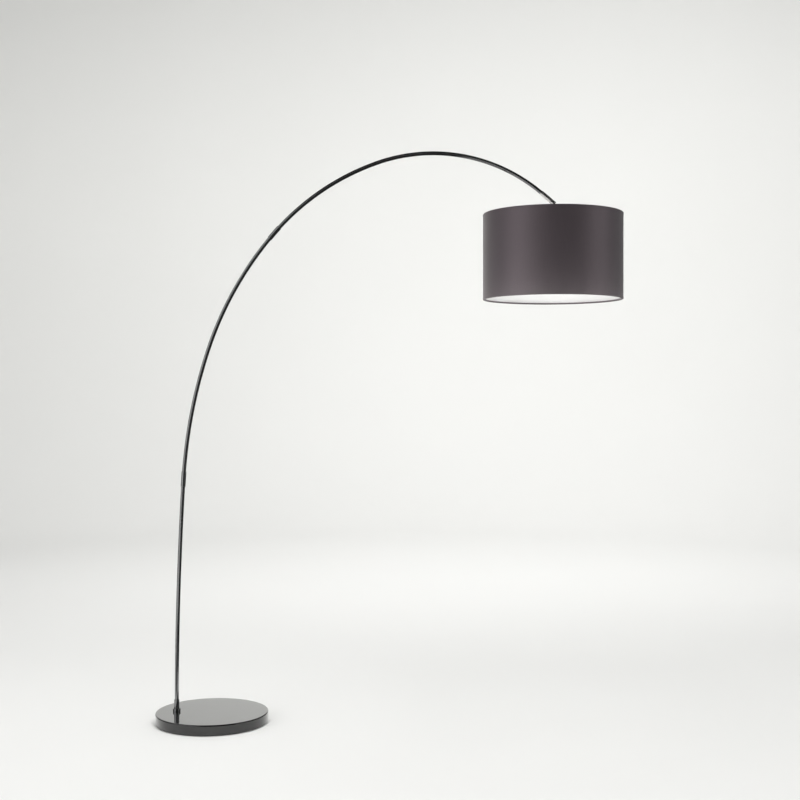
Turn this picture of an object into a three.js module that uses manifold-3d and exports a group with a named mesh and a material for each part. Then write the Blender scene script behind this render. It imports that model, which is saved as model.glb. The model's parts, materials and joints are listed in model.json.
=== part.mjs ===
// Arc floor lamp: a weighted disc base, a three-section curved tube and a drum shade that hangs
// from a small tilting knuckle at the tip. Millimetres, +Z up. The origin is the centre of the
// base's underside, and the arc lies in the plane y = 0, reaching towards +X.
import * as THREE from 'three';
import { mergeVertices } from 'three/addons/utils/BufferGeometryUtils.js';
import Module from 'manifold-3d';

const wasm = await Module();
wasm.setup();

// ---- driving dimensions ----------------------------------------------------------------------

const GAP = 0.3; // left between faces that touch
const ROUND_LARGE = 48; // sides of the base and the shade
const ROUND_MEDIUM = 20; // sides of the lampholder, bulb and socket
const ROUND_SMALL = 16; // sides of bores, rods and screws

// base
const BASE_RADIUS = 200;
const BASE_TOP = 38;
const PAD_RADIUS = 190;
const PAD_THICKNESS = 2.9;
const SKIRT_BOTTOM = PAD_THICKNESS + GAP;
const COVER_SHEET = 1.2;
const COVER_EDGE = 2.5; // radius of the cover's rounded top edge
const PLATE_THICKNESS = 3;
const PLATE_TOP = SKIRT_BOTTOM + PLATE_THICKNESS;
const WEIGHT_BOTTOM = PLATE_TOP + GAP;
const WEIGHT_TOP = BASE_TOP - COVER_SHEET - 0.4;
const INNER_RADIUS = BASE_RADIUS - COVER_SHEET - 0.8; // of the weight and the bottom plate
const PLATE_SCREW_CIRCLE = 150;
const PLATE_SCREW_ANGLES = [0, 90, 240];
const PLATE_SCREW = { head: 3.7, shank: 1.9, top: 16, headHole: 4.2, hole: 2.3, holeTop: 18 };

// pole socket and its hollow rod
const POLE_X = -126;
const SOCKET_RADIUS = 9;
const SOCKET_BORE = 7.4;
const SOCKET_FLOOR = 42;
const SOCKET_TOP = 80;
const FOOT_RING_RADIUS = 13.5;
const FOOT_RING_TOP = 48.3;
const POLE_SCREW = { height: 44.5, radius: 1.8, length: 5.9, hole: 2.2 };
const ROD_RADIUS = 5; // the M10 thread of lamp fittings
const ROD_BORE = 3.5;
const ROD_CLEARANCE = ROD_RADIUS + GAP;
const ROD_BOTTOM = 20;
const RECESS_RADIUS = 18;
const RECESS_TOP = 26.6;
const SOCKET_NUT = { flats: 14, bottom: 20.5, top: 24 };
const SOCKET_WASHER = { radius: 15, bottom: 24.3, top: 26.3 };

// cable inlet, at the back of the base on the pole's side
const GLAND_ANGLE = 135;
const GLAND_HEIGHT = 17;
const GLAND_BARREL = 6;
const GLAND_BORE = 3;
const GLAND_HOOD = { radius: 7.6, wall: 5, tip: 5.4, reach: 10 };
const GLAND_INNER_END = -14; // along the gland's axis, measured outwards from the cover's face
const GLAND_NUT = { flats: 17, bottom: -6.4, top: -2.4 };
const CLAMP_DISTANCE = 165; // from the base's centre to the cord clamp
const CLAMP = { halfLength: 4.5, halfWidth: 12, bottom: 11, screwOffset: 8, screwHole: 1.9 };
const CLAMP_SCREW = { head: 3, headHeight: 2.2, radius: 1.5, bottom: 8.5, top: 26 };
const CLAMP_POCKET_WIDTH = 28;
const NUT_POCKET = { width: 24, top: 28, distance: 180 }; // room for the gland nut in the weight
const CHANNEL_CORNER = 140; // where the lead's channel turns towards the pole
const CHANNEL_WIDTH = 16;
const CHANNEL_TOP = 19.9;
const LEAD_RADIUS = 2.6;
const LEAD_BEND = 14.5; // radius of the lead's turn up into the rod
const LEAD_LOW = 9.5; // height of the lead's centre before that turn

// arc: one straight-started centreline made of tangent circular spans, [length, degrees turned]
const TUBE_RADIUS = 7;
const TUBE_BORE = 5.5;
const LOWER_SPANS = [[829, 3.4]];
const MIDDLE_SPANS = [[478, 15.1], [475, 22.3]];
const UPPER_SPANS = [[451, 29.8], [621, 59.2]];
const FERRULE_LENGTH = 64;
const ARC_SPANS = [...LOWER_SPANS, ...MIDDLE_SPANS, ...UPPER_SPANS, [FERRULE_LENGTH, 0]];
const spanLength = (spans) => spans.reduce((sum, [length]) => sum + length, 0);
const LOWER_JOINT = spanLength(LOWER_SPANS);
const UPPER_JOINT = LOWER_JOINT + spanLength(MIDDLE_SPANS);
const FERRULE_START = UPPER_JOINT + spanLength(UPPER_SPANS);
const SLEEVE_RADIUS = 8.6;
const SLEEVE_LENGTH = 54;
const SLEEVE_SCREW_OFFSET = 14;
const JOINT_HALF_GAP = 0.5; // from a joint to the end of each tube
const ARC_SCREW_RADIUS = 1.7;
const ARC_SCREW_HOLE = 2.1;

// knuckle between the arc's tip and the shade
const FERRULE_RADIUS = 8.5;
const FERRULE_SOCKET = 38; // how deep the tube goes into the ferrule
const FORK_DEPTH = 19.5;
const FORK_HALF_GAP = 4.4;
const FORK_HALF_WIDTH = 7.6; // to the flats milled on the outside of its ears
const PIVOT_SETBACK = 9; // from the ferrule's end back to the pivot
const PIVOT_RADIUS = 2;
const PIVOT_HOLE = PIVOT_RADIUS + GAP;
const PIVOT_HEAD = { radius: 3.6, height: 2.4 };
const PIVOT_SCREW_LENGTH = 21.8;
const PIVOT_NUT = { flats: 7, height: 3.2 };
const BUSH = { radius: 3.5, front: -0.1, back: 4.1 };
const TONGUE = { front: -4.1, back: -0.4, radius: 6.5, halfWidth: 4.5 };
const CORE_RADIUS = 1.5; // the lead without its outer sheath

// heights in the head, all measured from the pivot
const STEM = { top: -12, shoulder: -38, bottom: -52, radius: 5.5, bore: 3.3 };
const STEM_NUT = { flats: 14, bottom: -42.4, top: -38.6 };
const HOLDER = { top: -42.8, split: -68.2, insertBottom: -78, mouth: -100, radius: 19.9, wall: 1.9 };
const HOLDER_DOME = 9; // radius of the cap's rounded shoulder
const HUB = { top: -84.3, bottom: -86.7, bore: 20.3, radius: 31 };
const SHELL = { hole: 6, inner: 13.6, sheet: 0.6, depth: 18.7 };
const SHADE_RING = { radius: 28.5, height: 6 };
const BULB = { top: -80.3, neck: -106, centre: -158, radius: 30, wall: 1, capRadius: 13.1 };
const BULB_NECK = { radius: 13.4, length: 8, bendRadius: 15, bendDepth: 22 };

// shade
const SHADE_RADIUS = 250;
const SHADE_TOP = -42;
const SHADE_HEIGHT = 306;
const SHADE_BOTTOM = SHADE_TOP - SHADE_HEIGHT;
const FABRIC = 1.2;
const HEM = 1;
const HEM_REACH = 6.5; // how far the fabric turns in over the rim wires
const LINING = 1;
const WIRE_RADIUS = 1.9;
const WIRE_CIRCLE = SHADE_RADIUS - FABRIC - 0.4 - LINING - GAP - WIRE_RADIUS;
const ARM_RADIUS = 1.7;
const ARM_ANGLES = [60, 180, 300];
const ARM_SLOPE = 50; // how steeply an arm meets the top wire, in degrees
const ARM_HANDLE = 26; // how long an arm keeps that slope

const FINISHES = {
  blackNickel: { color: 0x86868a, roughness: 0.15, metalness: 1 },
  brightNickel: { color: 0xe6e5e2, roughness: 0.12, metalness: 1 },
  blackLacquer: { color: 0x35353a, roughness: 0.1, metalness: 1 },
  zincSteel: { color: 0xa8aaac, roughness: 0.4, metalness: 1 },
  concrete: { color: 0x8d8a84, roughness: 0.95, metalness: 0 },
  felt: { color: 0x232325, roughness: 1, metalness: 0 },
  blackPlastic: { color: 0x1a1a1c, roughness: 0.45, metalness: 0 },
  leadSheath: { color: 0x202022, roughness: 0.6, metalness: 0 },
  brass: { color: 0xb08d4f, roughness: 0.35, metalness: 1 },
  ceramic: { color: 0xe8e4da, roughness: 0.5, metalness: 0 },
  frostedGlass: { color: 0xf4f2ec, roughness: 0.35, metalness: 0 },
  whiteWire: { color: 0xe6e6e4, roughness: 0.5, metalness: 0 },
  charcoalFabric: { color: 0x4a464b, roughness: 0.8, metalness: 0 },
  whiteLining: { color: 0xf2f1ee, roughness: 0.7, metalness: 0 },
};

// ---- helpers ---------------------------------------------------------------------------------

const rad = THREE.MathUtils.degToRad;
const at = (x, y, z) => new THREE.Vector3(x, y, z);

/** A point in a horizontal plane, given by its distance and bearing from the vertical axis. */
function polar(radius, degrees, z = 0) {
  return at(radius * Math.cos(rad(degrees)), radius * Math.sin(rad(degrees)), z);
}

/** Turns a closed three.js geometry into a manifold solid. */
function toSolid(geometry) {
  const bare = geometry.clone();
  bare.deleteAttribute('normal');
  bare.deleteAttribute('uv');
  const merged = mergeVertices(bare, 1e-3);
  const corners = merged.index.array;
  const triVerts = [];
  for (let i = 0; i < corners.length; i += 3) {
    const [a, b, c] = [corners[i], corners[i + 1], corners[i + 2]];
    if (a !== b && b !== c && c !== a) triVerts.push(a, b, c);
  }
  return new wasm.Manifold(new wasm.Mesh({
    numProp: 3,
    vertProperties: new Float32Array(merged.attributes.position.array),
    triVerts: new Uint32Array(triVerts),
  }));
}

/** Turns a manifold solid back into a three.js geometry. */
function toGeometry(solid) {
  const { vertProperties, triVerts } = solid.getMesh();
  const geometry = new THREE.BufferGeometry();
  geometry.setAttribute('position', new THREE.BufferAttribute(vertProperties, 3));
  geometry.setIndex(new THREE.BufferAttribute(triVerts, 1));
  geometry.computeVertexNormals();
  return geometry;
}

function cut(geometry, ...tools) {
  return toGeometry(tools.reduce((solid, tool) => solid.subtract(toSolid(tool)), toSolid(geometry)));
}

function join(geometry, ...others) {
  return toGeometry(others.reduce((solid, other) => solid.add(toSolid(other)), toSolid(geometry)));
}

/** A body turned about the Z axis from an outline of [radius, z] points. */
function turned(outline, sides) {
  const points = outline.map(([radius, z]) => new THREE.Vector2(radius, z));
  if (THREE.ShapeUtils.area(points) > 0) points.reverse();
  if (points[0].x > 0 || points.at(-1).x > 0) points.push(points[0].clone());
  return new THREE.LatheGeometry(points.reverse(), sides).rotateX(Math.PI / 2);
}

/** A ring about the Z axis with a rectangular section. */
function ring(inner, outer, bottom, top, sides) {
  return turned([[inner, bottom], [outer, bottom], [outer, top], [inner, top]], sides);
}

/** A cylinder along +Z from bottom to top. */
function rod(radius, bottom, top, sides = ROUND_SMALL) {
  return new THREE.CylinderGeometry(radius, radius, top - bottom, sides)
    .rotateX(Math.PI / 2)
    .translate(0, 0, (bottom + top) / 2);
}

/** A box given by its lowest and highest corners. */
function block([x0, y0, z0], [x1, y1, z1]) {
  return new THREE.BoxGeometry(x1 - x0, y1 - y0, z1 - z0)
    .translate((x0 + x1) / 2, (y0 + y1) / 2, (z0 + z1) / 2);
}

/** A hexagonal nut along +Z with a round bore. */
function nut({ flats, bottom, top }, bore) {
  const corner = flats / Math.sqrt(3);
  const hexagon = rod(corner, bottom, top, 6);
  return cut(hexagon, rod(bore, bottom - 1, top + 1));
}

/** A headless screw along +Z with a hexagon socket in its outer end. */
function grubScrew(radius, bottom, top) {
  return cut(rod(radius, bottom, top, 12), rod(radius * 0.5, top - radius * 0.8, top + 1, 6));
}

/** A screw along +Z: its head from bottom up, then its shank to top. */
function headedScrew(headRadius, headHeight, radius, bottom, top) {
  const outline = [
    [0, bottom],
    [headRadius, bottom],
    [headRadius, bottom + headHeight],
    [radius, bottom + headHeight],
    [radius, top],
    [0, top],
  ];
  return cut(turned(outline, 12), rod(radius * 0.6, bottom - 1, bottom + headHeight * 0.6, 6));
}

/** A round bar or tube swept along a curve. */
function swept(curve, outer, inner, steps, sides) {
  const section = new THREE.Shape().absarc(0, 0, outer, 0, 2 * Math.PI);
  if (inner > 0) section.holes.push(new THREE.Path().absarc(0, 0, inner, 0, 2 * Math.PI));
  return new THREE.ExtrudeGeometry(section, { extrudePath: curve, steps, curveSegments: sides / 2 });
}

/** Turns a geometry's +Z towards a direction and moves its origin to a point. */
function aimed(geometry, direction, origin) {
  const turn = new THREE.Quaternion().setFromUnitVectors(at(0, 0, 1), direction.clone().normalize());
  return geometry.applyQuaternion(turn).translate(origin.x, origin.y, origin.z);
}

const lamp = new THREE.Group();
const head = new THREE.Group();

function add(parent, name, finish, geometry) {
  const mesh = new THREE.Mesh(geometry, new THREE.MeshStandardMaterial(FINISHES[finish]));
  mesh.name = name;
  parent.add(mesh);
  return mesh;
}

// ---- arc centreline --------------------------------------------------------------------------

/** The point and heading (angle above +X) at a length along the arc's centreline. */
function arcStation(distance) {
  let x = POLE_X;
  let z = BASE_TOP;
  let heading = Math.PI / 2;
  let left = distance;
  for (const [length, degrees] of ARC_SPANS) {
    const walked = Math.min(left, length);
    const turn = rad(degrees) * walked / length;
    const chord = turn === 0 ? walked : 2 * (walked / turn) * Math.sin(turn / 2);
    x += chord * Math.cos(heading - turn / 2);
    z += chord * Math.sin(heading - turn / 2);
    heading -= turn;
    left -= walked;
    if (left <= 0) break;
  }
  return { point: at(x, 0, z), heading };
}

/** A stretch of the arc's centreline between two lengths along it. */
class ArcStretch extends THREE.Curve {
  constructor(from, to) {
    super();
    this.from = from;
    this.to = to;
  }

  getPoint(t) {
    return arcStation(THREE.MathUtils.lerp(this.from, this.to, t)).point;
  }
}

/** A tool that drills the hole for a grub screw into the back of the tube. */
function arcScrewDrill(place) {
  return aimed(rod(ARC_SCREW_HOLE, 3, 12), at(0, 1, 0), place);
}

/** A tube along the arc, with a hole through its back wall at each of the given lengths. */
function arcTube({ from, to, outer, inner, steps, sides, holes }) {
  const tube = swept(new ArcStretch(from, to), outer, inner, steps, sides);
  const drills = holes.map((distance) => arcScrewDrill(arcStation(distance).point));
  return cut(tube, ...drills);
}

const ferruleStation = arcStation(FERRULE_START);
const ferruleAxis = at(Math.cos(ferruleStation.heading), 0, Math.sin(ferruleStation.heading));
const pivot = arcStation(FERRULE_START + FERRULE_LENGTH - PIVOT_SETBACK).point;

// ---- base ------------------------------------------------------------------------------------

/** Points of a quarter round, from one angle to another, for a turned outline. */
function quarter(centreRadius, centreZ, radius, from, to, steps = 3) {
  return Array.from({ length: steps + 1 }, (_, i) => {
    const angle = rad(THREE.MathUtils.lerp(from, to, i / steps));
    return [centreRadius + radius * Math.cos(angle), centreZ + radius * Math.sin(angle)];
  });
}

/** A tool placed on the gland's axis: its +Z points outwards, zero at the cover's outer face. */
function onGlandAxis(geometry) {
  return aimed(geometry, polar(1, GLAND_ANGLE), polar(BASE_RADIUS, GLAND_ANGLE, GLAND_HEIGHT));
}

/** Moves a geometry from the origin to the pole's axis. */
const atPole = (geometry) => geometry.translate(POLE_X, 0, 0);

/** A slot cut upwards from below, along the line between two points on the floor. */
function slot(from, to, width, top) {
  const length = from.distanceTo(to);
  const bearing = Math.atan2(to.y - from.y, to.x - from.x);
  return block([0, -width / 2, 0], [length, width / 2, top])
    .rotateZ(bearing)
    .translate(from.x, from.y, 0);
}

function baseCover() {
  const edge = BASE_TOP - COVER_EDGE;
  const shell = turned([
    [0, BASE_TOP],
    ...quarter(BASE_RADIUS - COVER_EDGE, edge, COVER_EDGE, 90, 0),
    [BASE_RADIUS, SKIRT_BOTTOM],
    [BASE_RADIUS - COVER_SHEET, SKIRT_BOTTOM],
    ...quarter(BASE_RADIUS - COVER_EDGE, edge, COVER_EDGE - COVER_SHEET, 0, 90),
    [0, BASE_TOP - COVER_SHEET],
  ], ROUND_LARGE);
  const rodHole = atPole(rod(ROD_CLEARANCE, BASE_TOP - 5, BASE_TOP + 5));
  return cut(shell, rodHole, onGlandAxis(rod(GLAND_BARREL + 0.4, -6, 6)));
}

function counterweight() {
  const corner = polar(CHANNEL_CORNER, GLAND_ANGLE);
  const inlet = polar(BASE_RADIUS, GLAND_ANGLE);
  const drills = PLATE_SCREW_ANGLES.map((angle) => {
    const place = polar(PLATE_SCREW_CIRCLE, angle);
    return rod(PLATE_SCREW.hole, 0, PLATE_SCREW.holeTop, 12).translate(place.x, place.y, 0);
  });
  const clampDrills = [-1, 1].map((side) => atClamp(
    rod(CLAMP.screwHole, CLAMP.bottom - 1, CLAMP_SCREW.top + 1, 12),
    side * CLAMP.screwOffset,
  ));
  return cut(
    rod(INNER_RADIUS, WEIGHT_BOTTOM, WEIGHT_TOP, ROUND_LARGE),
    atPole(rod(RECESS_RADIUS, 0, RECESS_TOP, ROUND_MEDIUM)),
    atPole(rod(ROD_CLEARANCE, 0, BASE_TOP)),
    slot(corner, at(POLE_X, 0, 0), CHANNEL_WIDTH, CHANNEL_TOP),
    slot(corner, inlet, CLAMP_POCKET_WIDTH, CHANNEL_TOP),
    slot(polar(NUT_POCKET.distance, GLAND_ANGLE), inlet, NUT_POCKET.width, NUT_POCKET.top),
    ...drills,
    ...clampDrills,
  );
}

function bottomPlate() {
  const countersinks = PLATE_SCREW_ANGLES.map((angle) => {
    const place = polar(PLATE_SCREW_CIRCLE, angle);
    const { headHole, hole } = PLATE_SCREW;
    const conical = [[headHole, 0], [headHole, SKIRT_BOTTOM], [hole, SKIRT_BOTTOM + headHole - hole]];
    const tool = turned([[0, 0], ...conical, [hole, PLATE_TOP + 1], [0, PLATE_TOP + 1]], 12);
    return tool.translate(place.x, place.y, 0);
  });
  return cut(rod(INNER_RADIUS, SKIRT_BOTTOM, PLATE_TOP, ROUND_LARGE), ...countersinks);
}

function plateScrew() {
  const headBottom = SKIRT_BOTTOM + 0.1;
  const { head, shank, top } = PLATE_SCREW;
  const cone = [[head, headBottom], [shank, headBottom + head - shank]];
  const screw = turned([[0, headBottom], ...cone, [shank, top], [0, top]], 12);
  return cut(screw, rod(1.2, 0, headBottom + 1.2, 6));
}

/** Moves a geometry to the cord clamp, a given distance to one side of the lead. */
function atClamp(geometry, aside = 0) {
  const place = polar(CLAMP_DISTANCE, GLAND_ANGLE);
  return geometry.translate(0, aside, 0).rotateZ(rad(GLAND_ANGLE)).translate(place.x, place.y, 0);
}

function cordClamp() {
  const { halfLength, halfWidth, bottom, screwOffset, screwHole } = CLAMP;
  const groove = LEAD_RADIUS + 0.4;
  const bridge = cut(
    block([-halfLength, -halfWidth, bottom], [halfLength, halfWidth, CHANNEL_TOP - GAP]),
    block([-halfLength - 1, -groove, GLAND_HEIGHT - groove], [halfLength + 1, groove, CHANNEL_TOP]),
    rod(screwHole, bottom - 1, CHANNEL_TOP, 12).translate(0, screwOffset, 0),
    rod(screwHole, bottom - 1, CHANNEL_TOP, 12).translate(0, -screwOffset, 0),
  );
  return atClamp(bridge);
}

function cableGland() {
  const { radius, wall, tip, reach } = GLAND_HOOD;
  return onGlandAxis(turned([
    [GLAND_BORE, GLAND_INNER_END],
    [GLAND_BARREL, GLAND_INNER_END],
    [GLAND_BARREL, GAP],
    [radius, GAP],
    [radius, wall],
    [tip, reach],
    [GLAND_BORE, reach],
  ], ROUND_SMALL));
}

function poleSocket() {
  const body = turned([
    [ROD_CLEARANCE, BASE_TOP + GAP],
    [SOCKET_RADIUS, BASE_TOP + GAP],
    [SOCKET_RADIUS, SOCKET_TOP - 0.8],
    [SOCKET_RADIUS - 0.8, SOCKET_TOP],
    [SOCKET_BORE, SOCKET_TOP],
    [SOCKET_BORE, SOCKET_FLOOR],
    [ROD_CLEARANCE, SOCKET_FLOOR],
  ], ROUND_MEDIUM);
  return atPole(cut(body, poleScrewDrill()));
}

function footRing() {
  const bore = SOCKET_RADIUS + GAP;
  const bottom = BASE_TOP + GAP;
  const body = turned([
    [bore, bottom],
    [FOOT_RING_RADIUS, bottom],
    [FOOT_RING_RADIUS, FOOT_RING_TOP - 1],
    [FOOT_RING_RADIUS - 1, FOOT_RING_TOP],
    [bore, FOOT_RING_TOP],
  ], ROUND_MEDIUM);
  return atPole(cut(body, poleScrewDrill()));
}

/** A tool that drills the hole for the pole's grub screw into the back of the socket and the ring. */
function poleScrewDrill() {
  return aimed(rod(POLE_SCREW.hole, 4, 16), at(0, 1, 0), at(0, 0, POLE_SCREW.height));
}

/** The lead from the gland, through the clamp and the channel, up the rod to the socket's floor. */
function baseLead() {
  const corner = polar(CHANNEL_CORNER, GLAND_ANGLE);
  const pole = at(POLE_X, 0, 0);
  const alongSlot = (distance, z) => pole.clone().lerp(corner, distance / pole.distanceTo(corner)).setZ(z);
  const rise = [90, 67.5, 45, 22.5].map((degrees) => alongSlot(
    LEAD_BEND * (1 - Math.cos(rad(degrees))),
    LEAD_LOW + LEAD_BEND * (1 - Math.sin(rad(degrees))),
  ));
  const route = new THREE.CatmullRomCurve3([
    polar(BASE_RADIUS + 2, GLAND_ANGLE, GLAND_HEIGHT),
    polar(BASE_RADIUS - 15, GLAND_ANGLE, GLAND_HEIGHT),
    polar(CLAMP_DISTANCE, GLAND_ANGLE, GLAND_HEIGHT),
    polar(CHANNEL_CORNER + 14, GLAND_ANGLE, GLAND_HEIGHT),
    alongSlot(pole.distanceTo(corner) - 16, 16),
    alongSlot(60, 13.5),
    alongSlot(32, 10.2),
    ...rise,
    at(POLE_X, 0, LEAD_LOW + LEAD_BEND),
    at(POLE_X, 0, 33),
    at(POLE_X, 0, SOCKET_FLOOR - GAP),
  ], false, 'centripetal');
  return swept(route, LEAD_RADIUS, 0, 36, 8);
}

add(lamp, 'base_pad', 'felt', rod(PAD_RADIUS, 0, PAD_THICKNESS, ROUND_LARGE));
add(lamp, 'base_bottom_plate', 'zincSteel', bottomPlate());
add(lamp, 'counterweight', 'concrete', counterweight());
add(lamp, 'base_cover', 'blackLacquer', baseCover());
PLATE_SCREW_ANGLES.forEach((angle, i) => {
  const screw = add(lamp, `bottom_plate_screw_${i + 1}`, 'zincSteel', plateScrew());
  screw.position.copy(polar(PLATE_SCREW_CIRCLE, angle));
});
add(lamp, 'pole_socket', 'blackNickel', poleSocket());
add(lamp, 'foot_ring', 'blackNickel', footRing());
const poleScrew = add(lamp, 'pole_screw', 'zincSteel', grubScrew(POLE_SCREW.radius, 0, POLE_SCREW.length));
poleScrew.position.set(POLE_X, TUBE_RADIUS + GAP, POLE_SCREW.height);
poleScrew.rotation.x = -Math.PI / 2;
add(lamp, 'socket_rod', 'zincSteel', atPole(
  ring(ROD_BORE, ROD_RADIUS, ROD_BOTTOM, SOCKET_FLOOR - GAP, ROUND_SMALL),
));
add(lamp, 'socket_nut', 'zincSteel', atPole(nut(SOCKET_NUT, ROD_CLEARANCE)));
add(lamp, 'socket_washer', 'zincSteel', atPole(
  ring(ROD_CLEARANCE, SOCKET_WASHER.radius, SOCKET_WASHER.bottom, SOCKET_WASHER.top, ROUND_MEDIUM),
));
add(lamp, 'cable_gland', 'blackPlastic', cableGland());
add(lamp, 'gland_nut', 'blackPlastic', onGlandAxis(nut(GLAND_NUT, GLAND_BARREL + GAP)));
add(lamp, 'cord_clamp', 'blackPlastic', cordClamp());
[-1, 1].forEach((side, i) => {
  const { head: headRadius, headHeight, radius, bottom, top } = CLAMP_SCREW;
  const screw = headedScrew(headRadius, headHeight, radius, bottom, top);
  add(lamp, `cord_clamp_screw_${i + 1}`, 'zincSteel', atClamp(screw, side * CLAMP.screwOffset));
});
add(lamp, 'base_lead', 'leadSheath', baseLead());

// ---- arc -------------------------------------------------------------------------------------

function sleeve(joint) {
  return arcTube({
    from: joint - SLEEVE_LENGTH / 2,
    to: joint + SLEEVE_LENGTH / 2,
    outer: SLEEVE_RADIUS,
    inner: SOCKET_BORE,
    steps: 2,
    sides: ROUND_SMALL,
    holes: [joint - SLEEVE_SCREW_OFFSET, joint + SLEEVE_SCREW_OFFSET],
  });
}

/** One section of the arc's tube. */
function section(from, to, steps, holes) {
  return arcTube({ from, to, outer: TUBE_RADIUS, inner: TUBE_BORE, steps, sides: 12, holes });
}

/** A grub screw in the back of a sleeve, reaching through the tube's wall. */
function addArcScrew(name, distance, outer) {
  const screw = add(lamp, name, 'zincSteel', grubScrew(ARC_SCREW_RADIUS, 0, outer - TUBE_BORE));
  screw.position.copy(arcStation(distance).point).setY(TUBE_BORE + 0.2);
  screw.rotation.x = -Math.PI / 2;
}

/** The ferrule along +Z from the tube's side to its tip, with a fork across Y at the tip. */
function endFerrule() {
  const pivotHeight = FERRULE_LENGTH - PIVOT_SETBACK;
  const forkFloor = FERRULE_LENGTH - FORK_DEPTH;
  const body = turned([
    [SOCKET_BORE, 0],
    [FERRULE_RADIUS - 0.5, 0],
    [FERRULE_RADIUS, 0.5],
    [FERRULE_RADIUS, FERRULE_LENGTH - 0.8],
    [FERRULE_RADIUS - 0.8, FERRULE_LENGTH],
    [STEM.bore, FERRULE_LENGTH],
    [STEM.bore, FERRULE_SOCKET],
    [SOCKET_BORE, FERRULE_SOCKET],
  ], ROUND_MEDIUM);
  const flats = [-1, 1].map((side) => block(
    [-20, Math.min(side * FORK_HALF_WIDTH, side * 20), forkFloor],
    [20, Math.max(side * FORK_HALF_WIDTH, side * 20), FERRULE_LENGTH + 1],
  ));
  const forkGap = block([-20, -FORK_HALF_GAP, forkFloor], [20, FORK_HALF_GAP, FERRULE_LENGTH + 1]);
  const pivotHole = aimed(rod(PIVOT_HOLE, -20, 20), at(0, 1, 0), at(0, 0, pivotHeight));
  return cut(body, forkGap, ...flats, pivotHole, arcScrewDrill(at(0, 0, FERRULE_SOCKET / 2)));
}

add(lamp, 'lower_tube', 'blackNickel', section(
  SOCKET_FLOOR - BASE_TOP + 0.4,
  LOWER_JOINT - JOINT_HALF_GAP,
  8,
  [LOWER_JOINT - SLEEVE_SCREW_OFFSET],
));
add(lamp, 'middle_tube', 'blackNickel', section(
  LOWER_JOINT + JOINT_HALF_GAP,
  UPPER_JOINT - JOINT_HALF_GAP,
  21,
  [LOWER_JOINT + SLEEVE_SCREW_OFFSET, UPPER_JOINT - SLEEVE_SCREW_OFFSET],
));
add(lamp, 'upper_tube', 'blackNickel', section(
  UPPER_JOINT + JOINT_HALF_GAP,
  FERRULE_START + FERRULE_SOCKET - JOINT_HALF_GAP,
  32,
  [UPPER_JOINT + SLEEVE_SCREW_OFFSET, FERRULE_START + FERRULE_SOCKET / 2],
));
[['lower', LOWER_JOINT], ['upper', UPPER_JOINT]].forEach(([place, joint]) => {
  add(lamp, `${place}_coupling`, 'blackNickel', sleeve(joint));
  addArcScrew(`${place}_coupling_screw_1`, joint - SLEEVE_SCREW_OFFSET, SLEEVE_RADIUS);
  addArcScrew(`${place}_coupling_screw_2`, joint + SLEEVE_SCREW_OFFSET, SLEEVE_RADIUS);
});
const ferrule = add(lamp, 'end_ferrule', 'brightNickel', endFerrule());
ferrule.position.copy(ferruleStation.point);
ferrule.quaternion.setFromUnitVectors(at(0, 0, 1), ferruleAxis);
addArcScrew('ferrule_screw', FERRULE_START + FERRULE_SOCKET / 2, FERRULE_RADIUS);

const forkFace = FORK_HALF_WIDTH + GAP;
const pivotScrew = add(lamp, 'pivot_screw', 'blackNickel', headedScrew(
  PIVOT_HEAD.radius,
  PIVOT_HEAD.height,
  PIVOT_RADIUS,
  0,
  PIVOT_SCREW_LENGTH,
));
pivotScrew.position.copy(pivot).setY(-forkFace - PIVOT_HEAD.height);
pivotScrew.rotation.x = -Math.PI / 2;
const pivotNutSize = { flats: PIVOT_NUT.flats, bottom: 0, top: PIVOT_NUT.height };
const pivotNut = add(lamp, 'pivot_nut', 'blackNickel', nut(pivotNutSize, PIVOT_HOLE));
pivotNut.position.copy(pivot).setY(forkFace);
pivotNut.rotation.x = -Math.PI / 2;

const arcLeadEnd = FERRULE_START + FERRULE_LENGTH - FORK_DEPTH - LEAD_RADIUS;
const arcLead = new ArcStretch(SOCKET_FLOOR - BASE_TOP, arcLeadEnd);
add(lamp, 'arc_lead', 'leadSheath', swept(arcLead, LEAD_RADIUS, 0, 54, 8));

// ---- head: everything that tilts on the pivot, built around the pivot point -------------------

function swivelStem() {
  const neck = turned([
    [0, STEM.top],
    [STEM.radius, STEM.top],
    [STEM.radius, STEM.shoulder],
    [ROD_RADIUS - 0.1, STEM.shoulder],
    [ROD_RADIUS - 0.1, STEM.bottom],
    [0, STEM.bottom],
  ], ROUND_SMALL);
  const { front, back, radius, halfWidth } = TONGUE;
  const eye = aimed(rod(radius, front, back), at(0, 1, 0), at(0, 0, 0));
  const blade = block([-halfWidth, front, STEM.top - 3], [halfWidth, back, 0]);
  const pivotHole = aimed(rod(PIVOT_HOLE, -20, 20), at(0, 1, 0), at(0, 0, 0));
  return cut(join(neck, eye, blade), pivotHole, rod(STEM.bore, STEM.bottom - 1, STEM.top + 0.5));
}

/** The lead's cores where they pass beside the pivot, from the ferrule's bore into the stem's. */
function knuckleLead() {
  const away = ferruleAxis.clone().negate();
  const under = at(away.z, 0, -away.x).negate();
  const beside = (back, down, y) => at(0, y, 0).addScaledVector(away, back).addScaledVector(under, down);
  const route = new THREE.CatmullRomCurve3([
    beside(PIVOT_SETBACK * 1.3, 0, 0),
    beside(8.6, 1.8, 1.4),
    beside(5.4, 3.9, 1.8),
    at(-5.6, 1.8, -3),
    at(-2.6, 1.8, -8),
    at(-0.8, 1.3, -12),
    at(0, 0.5, -16),
    at(0, 0, STEM.top - 8),
  ], false, 'centripetal');
  return swept(route, CORE_RADIUS, 0, 18, 8);
}

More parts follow.
